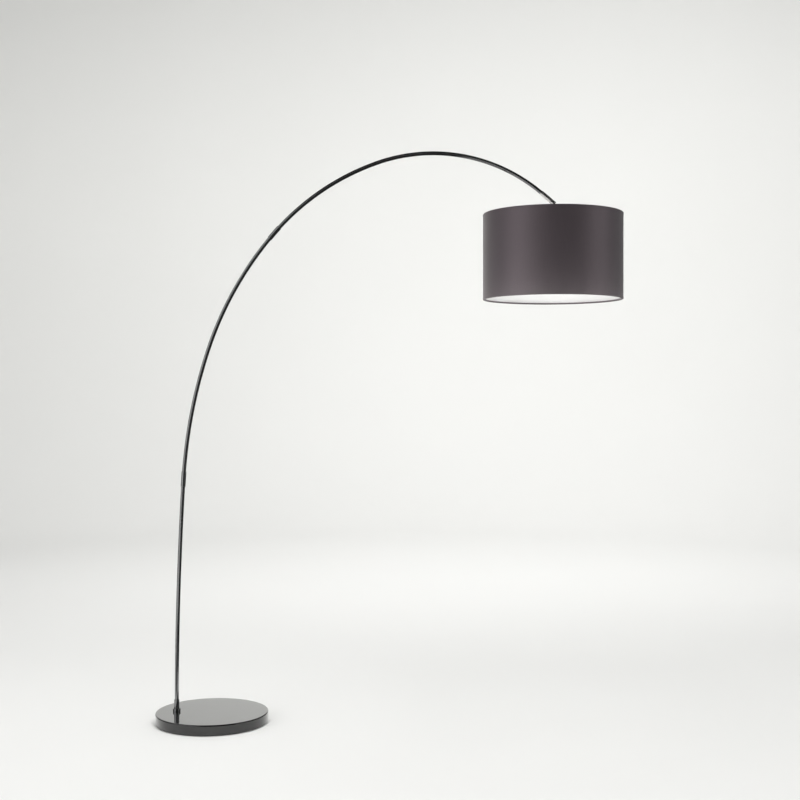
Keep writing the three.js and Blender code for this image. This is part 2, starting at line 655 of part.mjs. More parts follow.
function holderCap() {
  const { top, split, radius, wall } = HOLDER;
  const shoulder = top - HOLDER_DOME;
  const domeCentre = radius - HOLDER_DOME;
  return turned([
    [ROD_CLEARANCE, top],
    [domeCentre, top],
    ...quarter(domeCentre, shoulder, HOLDER_DOME, 90, 0).slice(1),
    [radius, split + 0.2],
    [radius - wall, split + 0.2],
    ...quarter(domeCentre, shoulder, HOLDER_DOME - wall, 0, 90),
    [ROD_CLEARANCE, top - wall],
  ], ROUND_MEDIUM);
}

/** The thin brass cup that the bulb's cap screws into, open in the middle for the centre contact. */
function screwShell() {
  const top = HOLDER.insertBottom - GAP;
  const { hole, inner, sheet, depth } = SHELL;
  return turned([
    [hole, top],
    [inner + sheet, top],
    [inner + sheet, top - depth],
    [inner, top - depth],
    [inner, top - sheet],
    [hole, top - sheet],
  ], ROUND_MEDIUM);
}

function centreContact() {
  const top = HOLDER.insertBottom - GAP;
  return turned([[0, top], [4.5, top], [4.5, top - 0.7], [2.5, top - 1.7], [0, top - 1.7]], 12);
}

function shadeRing(bottom) {
  return ring(HUB.bore, SHADE_RING.radius, bottom, bottom + SHADE_RING.height, ROUND_MEDIUM);
}

function bulbContact() {
  const { top } = BULB;
  return turned([[0, top], [3, top - 0.3], [4, top - 1.1], [0, top - 1.1]], 12);
}

function bulbCap() {
  const top = BULB.top - 1.4;
  return turned([
    [0, top],
    [9, top],
    [BULB.capRadius, top - 3],
    [BULB.capRadius, BULB.neck + GAP],
    [0, BULB.neck + GAP],
  ], ROUND_MEDIUM);
}

/** The bulb's glass: a ball that narrows into an open neck. */
function bulbGlass() {
  const side = (inset) => {
    const radius = BULB.radius - inset;
    const neckRadius = BULB_NECK.radius - inset;
    const ball = quarter(0, BULB.centre, radius, 40, -90, 5);
    ball[ball.length - 1] = [0, BULB.centre - radius];
    const neck = new THREE.Vector2(neckRadius, BULB.neck - BULB_NECK.length);
    const bend = new THREE.Vector2(BULB_NECK.bendRadius - inset, BULB.neck - BULB_NECK.bendDepth);
    const flare = new THREE.QuadraticBezierCurve(neck, bend, new THREE.Vector2(...ball[0]));
    const flarePoints = flare.getPoints(3).map((point) => [point.x, point.y]);
    return [[neckRadius, BULB.neck], ...flarePoints, ...ball.slice(1)];
  };
  return turned([...side(0).reverse(), ...side(BULB.wall)], ROUND_MEDIUM);
}

function spiderArm(degrees) {
  const wireZ = SHADE_TOP - HEM - GAP - WIRE_RADIUS;
  const hubZ = (HUB.top + HUB.bottom) / 2;
  const reach = WIRE_RADIUS + 0.4;
  const slope = rad(ARM_SLOPE);
  const end = { radius: WIRE_CIRCLE - reach * Math.cos(slope), z: wireZ - reach * Math.sin(slope) };
  const curve = new THREE.CubicBezierCurve3(
    polar(HUB.radius + GAP, degrees, hubZ),
    polar(WIRE_CIRCLE * 0.6, degrees, hubZ),
    polar(end.radius - ARM_HANDLE * Math.cos(slope), degrees, end.z - ARM_HANDLE * Math.sin(slope)),
    polar(end.radius, degrees, end.z),
  );
  return swept(curve, ARM_RADIUS, 0, 12, 8);
}

function rimWire(z) {
  return new THREE.TorusGeometry(WIRE_CIRCLE, WIRE_RADIUS, 6, ROUND_LARGE).translate(0, 0, z);
}

function shadeFabric() {
  const inside = SHADE_RADIUS - FABRIC;
  const hem = SHADE_RADIUS - HEM_REACH;
  return turned([
    [SHADE_RADIUS, SHADE_BOTTOM],
    [SHADE_RADIUS, SHADE_TOP],
    [hem, SHADE_TOP],
    [hem, SHADE_TOP - HEM],
    [inside, SHADE_TOP - HEM],
    [inside, SHADE_BOTTOM + HEM],
    [hem, SHADE_BOTTOM + HEM],
    [hem, SHADE_BOTTOM],
  ], ROUND_LARGE);
}

function shadeLining() {
  const outer = SHADE_RADIUS - FABRIC - 0.4;
  const edge = HEM + GAP;
  return ring(outer - LINING, outer, SHADE_BOTTOM + edge, SHADE_TOP - edge, ROUND_LARGE);
}

add(head, 'swivel_stem', 'blackNickel', swivelStem());
add(head, 'pivot_bush', 'zincSteel', aimed(
  ring(PIVOT_HOLE, BUSH.radius, BUSH.front, BUSH.back, ROUND_SMALL),
  at(0, 1, 0),
  at(0, 0, 0),
));
add(head, 'knuckle_lead', 'leadSheath', knuckleLead());
add(head, 'head_lead', 'leadSheath', rod(CORE_RADIUS, HOLDER.split, STEM.top - 8 - GAP, 8));
add(head, 'stem_nut', 'zincSteel', nut(STEM_NUT, ROD_CLEARANCE));
add(head, 'holder_cap', 'blackPlastic', holderCap());
add(head, 'holder_body', 'blackPlastic', ring(
  HOLDER.radius - HOLDER.wall,
  HOLDER.radius,
  HOLDER.mouth,
  HOLDER.split - 0.2,
  ROUND_MEDIUM,
));
add(head, 'holder_insert', 'ceramic', rod(
  HOLDER.radius - HOLDER.wall - 0.4,
  HOLDER.insertBottom,
  HOLDER.split - GAP,
  ROUND_MEDIUM,
));
add(head, 'screw_shell', 'brass', screwShell());
add(head, 'centre_contact', 'brass', centreContact());
add(head, 'shade_ring_upper', 'blackPlastic', shadeRing(HUB.top + GAP));
add(head, 'shade_ring_lower', 'blackPlastic', shadeRing(HUB.bottom - GAP - SHADE_RING.height));
add(head, 'bulb_contact', 'zincSteel', bulbContact());
add(head, 'bulb_cap', 'brass', bulbCap());
add(head, 'bulb_glass', 'frostedGlass', bulbGlass());
add(head, 'spider_hub', 'whiteWire', ring(HUB.bore, HUB.radius, HUB.bottom, HUB.top, ROUND_MEDIUM));
ARM_ANGLES.forEach((degrees, i) => {
  add(head, `spider_arm_${i + 1}`, 'whiteWire', spiderArm(degrees));
});
add(head, 'shade_top_wire', 'whiteWire', rimWire(SHADE_TOP - HEM - GAP - WIRE_RADIUS));
add(head, 'shade_bottom_wire', 'whiteWire', rimWire(SHADE_BOTTOM + HEM + GAP + WIRE_RADIUS));
add(head, 'shade_lining', 'whiteLining', shadeLining());
add(head, 'shade_fabric', 'charcoalFabric', shadeFabric());

head.position.copy(pivot);
lamp.add(head);

export default lamp;
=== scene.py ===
"""Arc floor lamp: the finished surfaces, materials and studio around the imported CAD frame. Metres."""

import json
from math import atan2, ceil, cos, dist, exp, inf, pi, radians, sin, sqrt, tan

import bmesh
import bpy
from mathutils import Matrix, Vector
from mathutils.geometry import interpolate_bezier


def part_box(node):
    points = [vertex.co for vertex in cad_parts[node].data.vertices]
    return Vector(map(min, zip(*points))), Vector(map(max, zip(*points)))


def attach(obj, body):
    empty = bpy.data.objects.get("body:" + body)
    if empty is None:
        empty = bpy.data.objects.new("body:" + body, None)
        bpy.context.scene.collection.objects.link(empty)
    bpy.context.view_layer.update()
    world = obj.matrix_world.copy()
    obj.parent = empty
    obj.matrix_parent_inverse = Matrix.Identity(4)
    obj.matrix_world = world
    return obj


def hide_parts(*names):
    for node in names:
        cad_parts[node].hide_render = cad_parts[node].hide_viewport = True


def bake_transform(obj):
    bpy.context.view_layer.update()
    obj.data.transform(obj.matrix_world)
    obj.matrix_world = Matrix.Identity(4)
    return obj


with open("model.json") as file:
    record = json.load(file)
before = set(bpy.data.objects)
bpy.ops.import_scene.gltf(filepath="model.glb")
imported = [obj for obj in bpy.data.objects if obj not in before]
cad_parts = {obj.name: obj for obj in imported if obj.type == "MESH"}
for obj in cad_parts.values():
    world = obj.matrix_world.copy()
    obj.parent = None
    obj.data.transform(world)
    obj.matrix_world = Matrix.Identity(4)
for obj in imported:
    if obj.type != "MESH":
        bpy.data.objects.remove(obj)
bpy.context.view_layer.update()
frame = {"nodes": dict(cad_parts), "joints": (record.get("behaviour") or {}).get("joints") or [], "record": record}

X, Y, Z = Vector((1, 0, 0)), Vector((0, 1, 0)), Vector((0, 0, 1))
MM = 0.001
SCENE = bpy.context.scene

# ---- places and sizes that the frame gives ----


def middle(node):
    """The centre of a CAD node's box."""
    low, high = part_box(node)
    return (low + high) / 2


def measures(node):
    """The radius, bottom and top of a CAD node that is round about a vertical axis."""
    low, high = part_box(node)
    return (high.x - low.x) / 2, low.z, high.z


PIVOT = Vector(next(joint["pos_m"] for joint in frame["joints"] if joint["name"] == "shade_tilt"))
BASE_RADIUS, SKIRT_BOTTOM, BASE_TOP = measures("base_cover")
POLE = middle("foot_ring").xy.to_3d()
SHADE = middle("shade_fabric").xy.to_3d()
SHADE_RADIUS, SHADE_BOTTOM, SHADE_TOP = measures("shade_fabric")

# ---- sizes that the boxes don't give ----

# the arc's centreline: tangent circular spans from the top of the base, (length, degrees turned)
ARC_SPANS = ((0.829, 3.4), (0.478, 15.1), (0.475, 22.3), (0.451, 29.8), (0.621, 59.2), (0.064, 0))
LOWER_JOINT = ARC_SPANS[0][0]
UPPER_JOINT = LOWER_JOINT + ARC_SPANS[1][0] + ARC_SPANS[2][0]
FERRULE_START = UPPER_JOINT + ARC_SPANS[3][0] + ARC_SPANS[4][0]
FERRULE_LENGTH = ARC_SPANS[5][0]
FERRULE_END = FERRULE_START + FERRULE_LENGTH
POLE_START = 4.4 * MM  # the lower tube's end, on the socket's floor
JOINT_HALF_GAP = 0.5 * MM  # from a joint to the end of each tube

TUBE_RADIUS = 7 * MM
TUBE_BORE = 5.5 * MM
SLIDING_BORE = 7.1 * MM  # of the pieces that slide over the tube
SLEEVE_RADIUS = 8.6 * MM
SLEEVE_HALF = 27 * MM
SCREW_OFFSET = 14 * MM  # from the joint
ARC_SCREW_RADIUS = 1.7 * MM
ARC_SCREW_HOLE = 2.0 * MM
POLE_SCREW_RADIUS = 1.8 * MM
POLE_SCREW_HOLE = 2.1 * MM
GLAND_ANGLE = 135  # degrees round the base, counted from +X

FERRULE_RADIUS = 8.5 * MM
FERRULE_SOCKET = 38 * MM  # how deep the tube goes in
FERRULE_SCREW = 19 * MM  # from the ferrule's start
PIVOT_HOLE = 2.3 * MM
LEAD_BORE = 3.3 * MM
CORE_RADIUS = 1.5 * MM  # the lead without its outer sheath

WIRE_RADIUS = 1.9 * MM
WIRE_CIRCLE = measures("shade_top_wire")[0] - WIRE_RADIUS
ARM_RADIUS = 1.7 * MM
SEAM_WIDTH = 12 * MM
WALL_SLACK = 0.1 * MM  # how far inside the full radius a point still counts as on the wall

# ---- mesh helpers ----


def arc_station(distance):
    """The centreline's point and its two cross directions at a length along the arc."""
    point = Vector((POLE.x, 0, BASE_TOP))
    heading = pi / 2
    left = distance
    for length, degrees in ARC_SPANS:
        walked = min(left, length)
        turn = radians(degrees) * walked / length
        chord = walked if turn == 0 else 2 * (walked / turn) * sin(turn / 2)
        middle_heading = heading - turn / 2
        point += chord * Vector((cos(middle_heading), 0, sin(middle_heading)))
        heading -= turn
        left -= walked
        if left <= 0:
            break
    return point, Vector((sin(heading), 0, -cos(heading))), Y.copy()


def straight(origin, direction=Z, across=X):
    """A straight axis: its point and cross directions at a distance from the origin."""
    along = direction.normalized()
    side = along.cross(across)
    return lambda distance: (origin + along * distance, across, side)


def rounded(corners, steps=5):
    """A closed outline from (radius, height, rounding in mm) corners."""
    points = []
    count = len(corners)
    for i, (radius, height, rounding_mm) in enumerate(corners):
        here = Vector((radius, height))
        rounding = rounding_mm * MM
        if rounding == 0:
            points.append((radius, height))
            continue
        to_last = Vector(corners[i - 1][:2]) - here
        to_next = Vector(corners[(i + 1) % count][:2]) - here
        angle = to_last.angle(to_next)
        reach = rounding / tan(angle / 2)
        last, following = to_last.normalized(), to_next.normalized()
        centre = here + (last + following).normalized() * (rounding / sin(angle / 2))
        start, end = here + last * reach, here + following * reach
        spare = 0.3 * rounding
        if to_last.length > reach + 2 * spare:
            points.append(tuple(start + last * spare))
        for step in range(steps + 1):
            spoke = (start - centre).slerp(end - centre, step / steps)
            points.append(tuple(centre + spoke.normalized() * rounding))
        if to_next.length > reach + 2 * spare:
            points.append(tuple(end + following * spare))
    return points


def ring_section(inner, outer, start, end, roundings, steps=5):
    """A ring's outline. Its roundings are in mm: inner and outer start, outer and inner end."""
    corners = ((inner, start), (outer, start), (outer, end), (inner, end))
    return rounded([(*corner, rounding) for corner, rounding in zip(corners, roundings)], steps)


def divided(outline, step, closed=True):
    """The outline with points added so that no stretch is longer than step."""
    points = []
    ends = outline[1:] + outline[:1] if closed else outline[1:]
    for here, following in zip(outline, ends):
        points.append(here)
        pieces = ceil(dist(here, following) / step)
        for k in range(1, pieces):
            points.append(tuple(Vector(here).lerp(Vector(following), k / pieces)))
    return points if closed else points + outline[-1:]


def new_object(name, bm):
    """A scene object from a finished bmesh."""
    bmesh.ops.recalc_face_normals(bm, faces=bm.faces)
    mesh = bpy.data.meshes.new(name)
    bm.to_mesh(mesh)
    bm.free()
    piece = bpy.data.objects.new(name, mesh)
    SCENE.collection.objects.link(piece)
    return piece


def smooth(piece, degrees=40):
    """Shades a piece smooth, apart from edges sharper than an angle."""
    piece.data.shade_smooth()
    piece.data.set_sharp_from_angle(angle=radians(degrees))
    return piece


def turned(name, outline, axis, sides=96, relief=None):
    """A closed outline of (radius, distance) points turned about a straight or bent axis.

    relief gives what is added to the radius at a (radius, distance, angle).
    """
    bm = bmesh.new()
    uv = bm.loops.layers.uv.new("UVMap")
    rings, lengths, walked = [], [], 0
    for i, (radius, distance) in enumerate(outline):
        origin, across, side = axis(distance)
        if i:
            walked += dist(outline[i - 1], outline[i])
        lengths.append(walked)
        if radius < 1e-6:
            rings.append([bm.verts.new(origin)])
            continue
        ring = []
        for k in range(sides):
            angle = 2 * pi * k / sides
            reach = radius + (relief(radius, distance, angle) if relief else 0)
            ring.append(bm.verts.new(origin + (across * cos(angle) + side * sin(angle)) * reach))
        rings.append(ring)
    widest = 2 * pi * max(radius for radius, _ in outline)
    closes = len(rings[0]) > 1 or len(rings[-1]) > 1
    order = list(range(len(rings))) + ([0] if closes else [])
    for a, b in zip(order, order[1:]):
        end_length = lengths[b] if b else walked + dist(outline[-1], outline[0])
        for k in range(sides):
            u0, u1 = widest * k / sides, widest * (k + 1) / sides
            loop = [
                (rings[a][k % len(rings[a])], (u0, lengths[a])),
                (rings[a][(k + 1) % len(rings[a])], (u1, lengths[a])),
                (rings[b][(k + 1) % len(rings[b])], (u1, end_length)),
                (rings[b][k % len(rings[b])], (u0, end_length)),
            ]
            corners = [c for i, c in enumerate(loop) if c[0] not in [d[0] for d in loop[:i]]]
            if len(corners) < 3:
                continue
            face = bm.faces.new([vert for vert, _ in corners])
            for corner, (_, place) in zip(face.loops, corners):
                corner[uv].uv = place
    return smooth(new_object(name, bm))


def flutes(count, depth, radius, top=inf):
    """A relief of upright flutes in a round wall, below a height."""

    def relief(r, s, angle):
        on_wall = r > radius - WALL_SLACK and s < top
        return depth * (abs(cos(count * angle)) - 1) if on_wall else 0

    return relief


def screw_thread(pitch, depth, radius, bottom, top):
    """A relief of a rounded thread in a round wall, between two heights."""

    def relief(r, s, angle):
        on_wall = r > radius - WALL_SLACK and bottom < s < top
        return -depth * (0.5 + 0.5 * sin(2 * pi * s / pitch - angle)) if on_wall else 0

    return relief


def swept(name, points, radius, sides=16):
    """A round wire with closed, slightly rounded ends along a list of points."""
    frames = []
    across = (points[1] - points[0]).orthogonal().normalized()
    for i, point in enumerate(points):
        along = (points[min(i + 1, len(points) - 1)] - points[max(i - 1, 0)]).normalized()
        across = (across - along * across.dot(along)).normalized()
        frames.append((point, along, across.copy(), along.cross(across)))
    round_off = 0.4 * radius
    last = len(points) - 1
    outline = [(0, 0, -round_off), (radius - round_off, 0, -round_off)]
    outline += [(radius, i, 0) for i in range(len(points))]
    outline += [(radius - round_off, last, round_off), (0, last, round_off)]
    keyed = [(r, k) for k, (r, _, _) in enumerate(outline)]

    def axis(k):
        _, i, beyond = outline[int(k)]
        point, along, across, side = frames[i]
        return point + along * beyond, across, side

    return turned(name, keyed, axis, sides)


def smooth_route(anchors, steps=7):
    """Points along a smooth curve that runs through the anchors."""
    padded = [anchors[0]] + anchors + [anchors[-1]]
    points = [anchors[0]]
    for before, here, following, after in zip(padded, padded[1:], padded[2:], padded[3:]):
        leaving = here + (following - before) / 6
        arriving = following - (after - here) / 6
        points += interpolate_bezier(here, leaving, arriving, following, steps)[1:]
    return points


def extruded(name, polygon, axis, bottom, top):
    """A straight prism from a polygon of (x, y) points across an axis."""
    bm = bmesh.new()
    layers = []
    for distance in (bottom, top):
        origin, across, side = axis(distance)
        layers.append([bm.verts.new(origin + across * x + side * y) for x, y in polygon])
    bm.faces.new(layers[0])
    bm.faces.new(layers[1])
    for k in range(len(polygon)):
        following = (k + 1) % len(polygon)
        bm.faces.new((layers[0][k], layers[0][following], layers[1][following], layers[1][k]))
    return smooth(new_object(name, bm))


def baked(piece):
    """Applies a piece's modifiers to its mesh."""
    graph = bpy.context.evaluated_depsgraph_get()
    mesh = bpy.data.meshes.new_from_object(piece.evaluated_get(graph))
    piece.modifiers.clear()
    piece.data = mesh
    return piece


def bevelled(piece, width, segments=3, degrees=35):
    """Rounds the edges that are sharper than an angle."""
    modifier = piece.modifiers.new("edges", "BEVEL")
    modifier.width = width
    modifier.segments = segments
    modifier.limit_method = "ANGLE"
    modifier.angle_limit = radians(degrees)
    return smooth(baked(piece))


def combined(piece, others, operation):
    """Cuts other pieces out of a piece, or joins them to it, and deletes them."""
    for other in others:
        modifier = piece.modifiers.new("solid", "BOOLEAN")
        modifier.operation = operation
        modifier.solver = "EXACT"
        modifier.object = other
    baked(piece)
    for other in others:
        bpy.data.objects.remove(other)
    return smooth(piece)


def cylinder(radius, bottom, top, axis, sides=48):
    """A plain tool for cutting and joining."""
    return turned("tool", [(0, bottom), (radius, bottom), (radius, top), (0, top)], axis, sides)


def hexagon(across_flats):
    """The corners of a hexagon, from its width across flats."""
    corner = across_flats / sqrt(3)
    angles = [radians(60 * k) for k in range(6)]
    return [(corner * cos(angle), corner * sin(angle)) for angle in angles]


def finished(piece, slot):
    """Gives a piece the material of its slot."""
    piece.data.materials.clear()
    piece.data.materials.append(MATERIALS[slot])
    return piece


def placed(piece, body, slot, *nodes):
    """Rides a piece on a body, finishes it and hides the CAD nodes it stands for."""
    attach(piece, body)
    if nodes:
        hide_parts(*nodes)
    return finished(piece, slot)


# ---- material helpers ----


class Nodes:
    """A small writer for node trees."""

    def __init__(self, name):
        self.material = bpy.data.materials.new(name)
        self.material.use_nodes = True
        self.tree = self.material.node_tree
        self.shader = self.tree.nodes["Principled BSDF"]

    def add(self, kind, inputs=None, **settings):
        """Adds a node, with its inputs by socket and its settings by name."""
        node = self.tree.nodes.new(kind)
        for key, value in settings.items():
            setattr(node, key, value)
        for key, value in (inputs or {}).items():
            self.set(node, key, value)
        return node

    def set(self, node, key, value):
        """Links an input to a socket, or gives it a constant."""
        socket = node.inputs[key]
        if isinstance(value, bpy.types.NodeSocket):
            self.tree.links.new(value, socket)
        else:
            socket.default_value = value

    def shade(self, **values):
        """Sets the shader's inputs, with _ for the spaces in their names."""
        for key, value in values.items():
            self.set(self.shader, key.replace("_", " "), value)

    def math(self, operation, a, b=0.0):
        return self.add("ShaderNodeMath", {0: a, 1: b}, operation=operation).outputs[0]

    def noise(self, vector, scale, detail=4.0, roughness=0.5):
        inputs = {"Vector": vector, "Scale": scale, "Detail": detail, "Roughness": roughness}
        return self.add("ShaderNodeTexNoise", inputs).outputs["Fac"]

    def scaled(self, vector, scale):
        return self.add("ShaderNodeMapping", {"Vector": vector, "Scale": scale}).outputs["Vector"]

    def ranged(self, value, old, new):
        """Maps a value from one (low, high) range onto another."""
        inputs = {"Value": value, "From Min": old[0], "From Max": old[1], "To Min": new[0], "To Max": new[1]}
        return self.add("ShaderNodeMapRange", inputs).outputs["Result"]

    def mixed(self, factor, a, b):
        node = self.add("ShaderNodeMix", {"Factor": factor}, data_type="RGBA")
        self.set(node, "A", a)
        self.set(node, "B", b)
        return node.outputs["Result"]

    def varied(self, tone, dark, light, wear, roughness):
        """Varies the colour with one value and the roughness with another."""
        self.shade(Base_Color=self.mixed(tone, dark, light), Roughness=self.ranged(wear, USUAL, roughness))

    def bump(self, height, strength, distance):
        inputs = {"Height": height, "Strength": strength, "Distance": distance}
        self.set(self.shader, "Normal", self.add("ShaderNodeBump", inputs).outputs["Normal"])

    def object_place(self):
        return self.add("ShaderNodeTexCoord").outputs["Object"]

    def uv(self):
        return self.add("ShaderNodeTexCoord").outputs["UV"]

    def axes(self, vector):
        return self.add("ShaderNodeSeparateXYZ", {"Vector": vector}).outputs

    def plain_weave(self, pitch):
        """Height of threads that pass over and under each other."""
        u, v, _ = self.axes(self.uv())
        across = self.math("SINE", self.math("MULTIPLY", u, pi / pitch))
        along = self.math("SINE", self.math("MULTIPLY", v, pi / pitch))
        over = self.math("GREATER_THAN", self.math("MULTIPLY", across, along), 0.0)
        warp = self.math("MULTIPLY", self.math("ABSOLUTE", across), over)
        weft = self.math("MULTIPLY", self.math("ABSOLUTE", along), self.math("SUBTRACT", 1.0, over))
        return self.math("ADD", warp, weft)


USUAL = (0.3, 0.7)  # where most of a noise's values lie


def grey(level, warm=0.0):
    """A near-neutral linear colour, warmer when warm is positive."""
    return (level * (1 + warm), level, level * (1 - warm), 1.0)


def plating(name, dark, light, roughness):
    """Polished plating with faint smears and the finest polishing lines."""
    n = Nodes(name)
    place = n.object_place()
    smear = n.noise(place, scale=9.0, detail=5.0)
    lines = n.noise(n.scaled(place, (40, 40, 900)), scale=1.0, detail=2.0)
    spread = n.math("ADD", smear, n.math("MULTIPLY", lines, 0.35))
    n.shade(
        Metallic=1.0,
        Base_Color=n.mixed(n.ranged(smear, USUAL, (0.0, 1.0)), dark, light),
        Roughness=n.ranged(spread, (0.4, 0.9), roughness),
    )
    n.bump(lines, strength=0.02, distance=0.1 * MM)
    return n


def black_nickel():
    n = plating("black_nickel", grey(0.25, -0.01), grey(0.29, -0.005), roughness=(0.08, 0.14))
    n.shade(Specular_Tint=grey(0.25))
    return n.material


def bright_nickel():
    return plating("bright_nickel", grey(0.78, 0.01), grey(0.86, 0.01), roughness=(0.08, 0.15)).material


def black_lacquer():
    """Dark plating under a clear gloss lacquer."""
    n = plating("black_lacquer", grey(0.034), grey(0.044), roughness=(0.1, 0.16))
    n.shade(Coat_Weight=1.0, Coat_Roughness=0.02, Coat_IOR=1.5)
    return n.material


def zinc_steel():
    n = Nodes("zinc_steel")
    place = n.object_place()
    cloud = n.noise(place, scale=60.0, detail=6.0)
    n.shade(Metallic=1.0)
    n.varied(cloud, grey(0.36), grey(0.5, 0.02), cloud, (0.28, 0.46))
    n.bump(n.noise(place, scale=900.0, detail=2.0), strength=0.08, distance=0.2 * MM)
    return n.material


def concrete():
    n = Nodes("concrete")
    place = n.object_place()
    pores = n.add("ShaderNodeTexVoronoi", {"Vector": place, "Scale": 160.0}).outputs["Distance"]
    cloud = n.noise(place, scale=24.0, detail=8.0, roughness=0.6)
    n.shade(Base_Color=n.mixed(cloud, grey(0.2, 0.03), grey(0.36, 0.04)), Roughness=0.93)
    n.bump(n.math("ADD", n.math("MINIMUM", pores, 0.25), cloud), strength=0.6, distance=1 * MM)
    return n.material


def felt():
    """Black felt with fibres that lie flat."""
    n = Nodes("felt")
    place = n.object_place()
    fibres = n.noise(n.scaled(place, (1, 1, 3)), scale=700.0, detail=5.0, roughness=0.7)
    n.shade(Base_Color=n.mixed(fibres, grey(0.008), grey(0.03, 0.02)), Roughness=0.98, Sheen_Weight=0.3)
    n.bump(fibres, strength=0.7, distance=0.8 * MM)
    return n.material


def black_plastic():
    n = Nodes("black_plastic")
    place = n.object_place()
    grain = n.noise(place, scale=1100.0, detail=3.0)
    n.varied(n.noise(place, scale=40.0), grey(0.010), grey(0.016), grain, (0.3, 0.45))
    n.bump(grain, strength=0.12, distance=0.2 * MM)
    return n.material


def lead_sheath():
    n = Nodes("lead_sheath")
    grain = n.noise(n.object_place(), scale=500.0)
    n.varied(grain, grey(0.010), grey(0.018), grain, (0.45, 0.62))
    n.bump(grain, strength=0.1, distance=0.3 * MM)
    return n.material


def brass():
    n = Nodes("brass")
    place = n.object_place()
    dull, bright = (0.52, 0.36, 0.14, 1), (0.68, 0.5, 0.22, 1)
    tarnish = n.noise(place, scale=120.0, detail=6.0)
    n.shade(Metallic=1.0)
    n.varied(tarnish, dull, bright, tarnish, (0.2, 0.4))
    n.bump(n.noise(place, scale=800.0, detail=2.0), strength=0.06, distance=0.2 * MM)
    return n.material


def ceramic():
    n = Nodes("ceramic")
    speckle = n.noise(n.object_place(), scale=400.0, detail=5.0)
    n.shade(Base_Color=n.mixed(speckle, grey(0.68, 0.03), grey(0.78, 0.03)), Roughness=0.5)
    n.bump(speckle, strength=0.1, distance=0.3 * MM)
    return n.material


def frosted_glass():
    """Opal bulb glass: white inside coat under a clear skin."""
    n = Nodes("frosted_glass")
    cloud = n.noise(n.object_place(), scale=90.0)
    n.varied(cloud, grey(0.84, 0.01), grey(0.9, 0.01), cloud, (0.3, 0.38))
    n.shade(Subsurface_Weight=0.4, Subsurface_Radius=(0.02, 0.02, 0.018), Subsurface_Scale=0.1)
    n.shade(Coat_Weight=0.5, Coat_Roughness=0.06)
    return n.material


def white_wire():
    n = Nodes("white_wire")
    place = n.object_place()
    peel = n.noise(place, scale=700.0, detail=3.0)
    n.varied(n.noise(place, scale=30.0), grey(0.72, 0.01), grey(0.8, 0.01), peel, (0.32, 0.5))
    n.bump(peel, strength=0.12, distance=0.3 * MM)
    return n.material


def white_lining():
    """Laminated film that shows the fabric's weave very faintly."""
    n = Nodes("white_lining")
    cloud = n.noise(n.uv(), scale=14.0, detail=5.0)
    n.varied(cloud, grey(0.86, 0.008), grey(0.92, 0.006), cloud, (0.5, 0.62))
    n.bump(n.plain_weave(0.9 * MM), strength=0.05, distance=0.2 * MM)
    return n.material


def charcoal_fabric():
    """Fine satin-faced cloth, with painted light: its colour is lighter near the bottom rim, standing in for light
    that comes through it from below.
    """
    n = Nodes("charcoal_fabric")
    slubs = n.noise(n.scaled(n.uv(), (900, 14, 1)), scale=1.0, detail=3.0, roughness=0.6)
    picks = n.noise(n.scaled(n.uv(), (20, 1100, 1)), scale=1.0, detail=2.0, roughness=0.6)
    threads = n.math("ADD", n.math("MULTIPLY", slubs, 0.6), n.math("MULTIPLY", picks, 0.4))
    thread_range = (0.35, 0.65)
    tone = n.ranged(threads, thread_range, (0.0, 1.0))
    # painted light: the cloth's colour is mixed towards a lighter copy near the bottom rim, standing in for light
    # from below
    height = n.math("SUBTRACT", n.axes(n.object_place())["Z"], SHADE_BOTTOM)
    painted_light_height = 75 * MM  # the height over which the painted light from below falls to 1/e
    painted_light_from_below = n.math("EXPONENT", n.math("DIVIDE", height, -painted_light_height))
    unlit_cloth = n.mixed(tone, (0.034, 0.027, 0.031, 1), (0.046, 0.038, 0.043, 1))
    painted_lit_cloth = n.mixed(tone, (0.092, 0.078, 0.084, 1), (0.112, 0.098, 0.104, 1))
    n.shade(
        Base_Color=n.mixed(painted_light_from_below, unlit_cloth, painted_lit_cloth),
        Roughness=n.ranged(threads, thread_range, (0.33, 0.42)),
        Specular_IOR_Level=1.0,
        Specular_Tint=(1.0, 0.85, 0.91, 1),
        Sheen_Weight=0.06,
        Sheen_Roughness=0.4,
    )
    relief = n.math("ADD", n.plain_weave(0.45 * MM), n.math("MULTIPLY", threads, 0.8))
    n.bump(relief, strength=0.22, distance=0.3 * MM)
    return n.material


MATERIALS = {
    material.__name__: material()
    for material in (
        black_nickel, bright_nickel, black_lacquer, zinc_steel, concrete, felt, black_plastic,
        lead_sheath, brass, ceramic, frosted_glass, white_wire, white_lining, charcoal_fabric,
    )
}


def dress_cad_nodes():
    """Gives every CAD node the node material of its slot."""
    for part in frame["record"]["subparts"]:
        node = frame["nodes"][part["node"]]
        for place in node.material_slots:
            place.material = MATERIALS[part["material_slot"]]


# ---- base ----

UPRIGHT = straight(Vector())  # the base's own axis


def base_cover():
    """A dished steel shell with a rounded top edge, open below."""
    sheet = 1.2 * MM
    edge, inner_edge, curl = 4.2, 1.3, 0.5  # roundings in mm
    outline = rounded([
        (0, BASE_TOP, 0),
        (BASE_RADIUS, BASE_TOP, edge),
        (BASE_RADIUS, SKIRT_BOTTOM, curl),
        (BASE_RADIUS - sheet, SKIRT_BOTTOM, curl),
        (BASE_RADIUS - sheet, BASE_TOP - sheet, inner_edge),
        (0, BASE_TOP - sheet, 0),
    ], steps=8)
    piece = turned("cover", divided(outline, 30 * MM, closed=False), UPRIGHT, sides=256)
    placed(piece, "base", "black_lacquer", "base_cover")


def disc(name, node, slot, ease):
    """A flat round piece of the base, with its edges eased in mm."""
    radius, bottom, top = measures(node)
    outline = ring_section(0, radius, bottom, top, (0, ease, ease, 0))
    placed(turned(name, outline, UPRIGHT, sides=192), "base", slot, node)


def base_pad():
    disc("pad", "base_pad", "felt", 0.6)


def bottom_plate():
    disc("bottom_plate", "base_bottom_plate", "zinc_steel", 0.4)


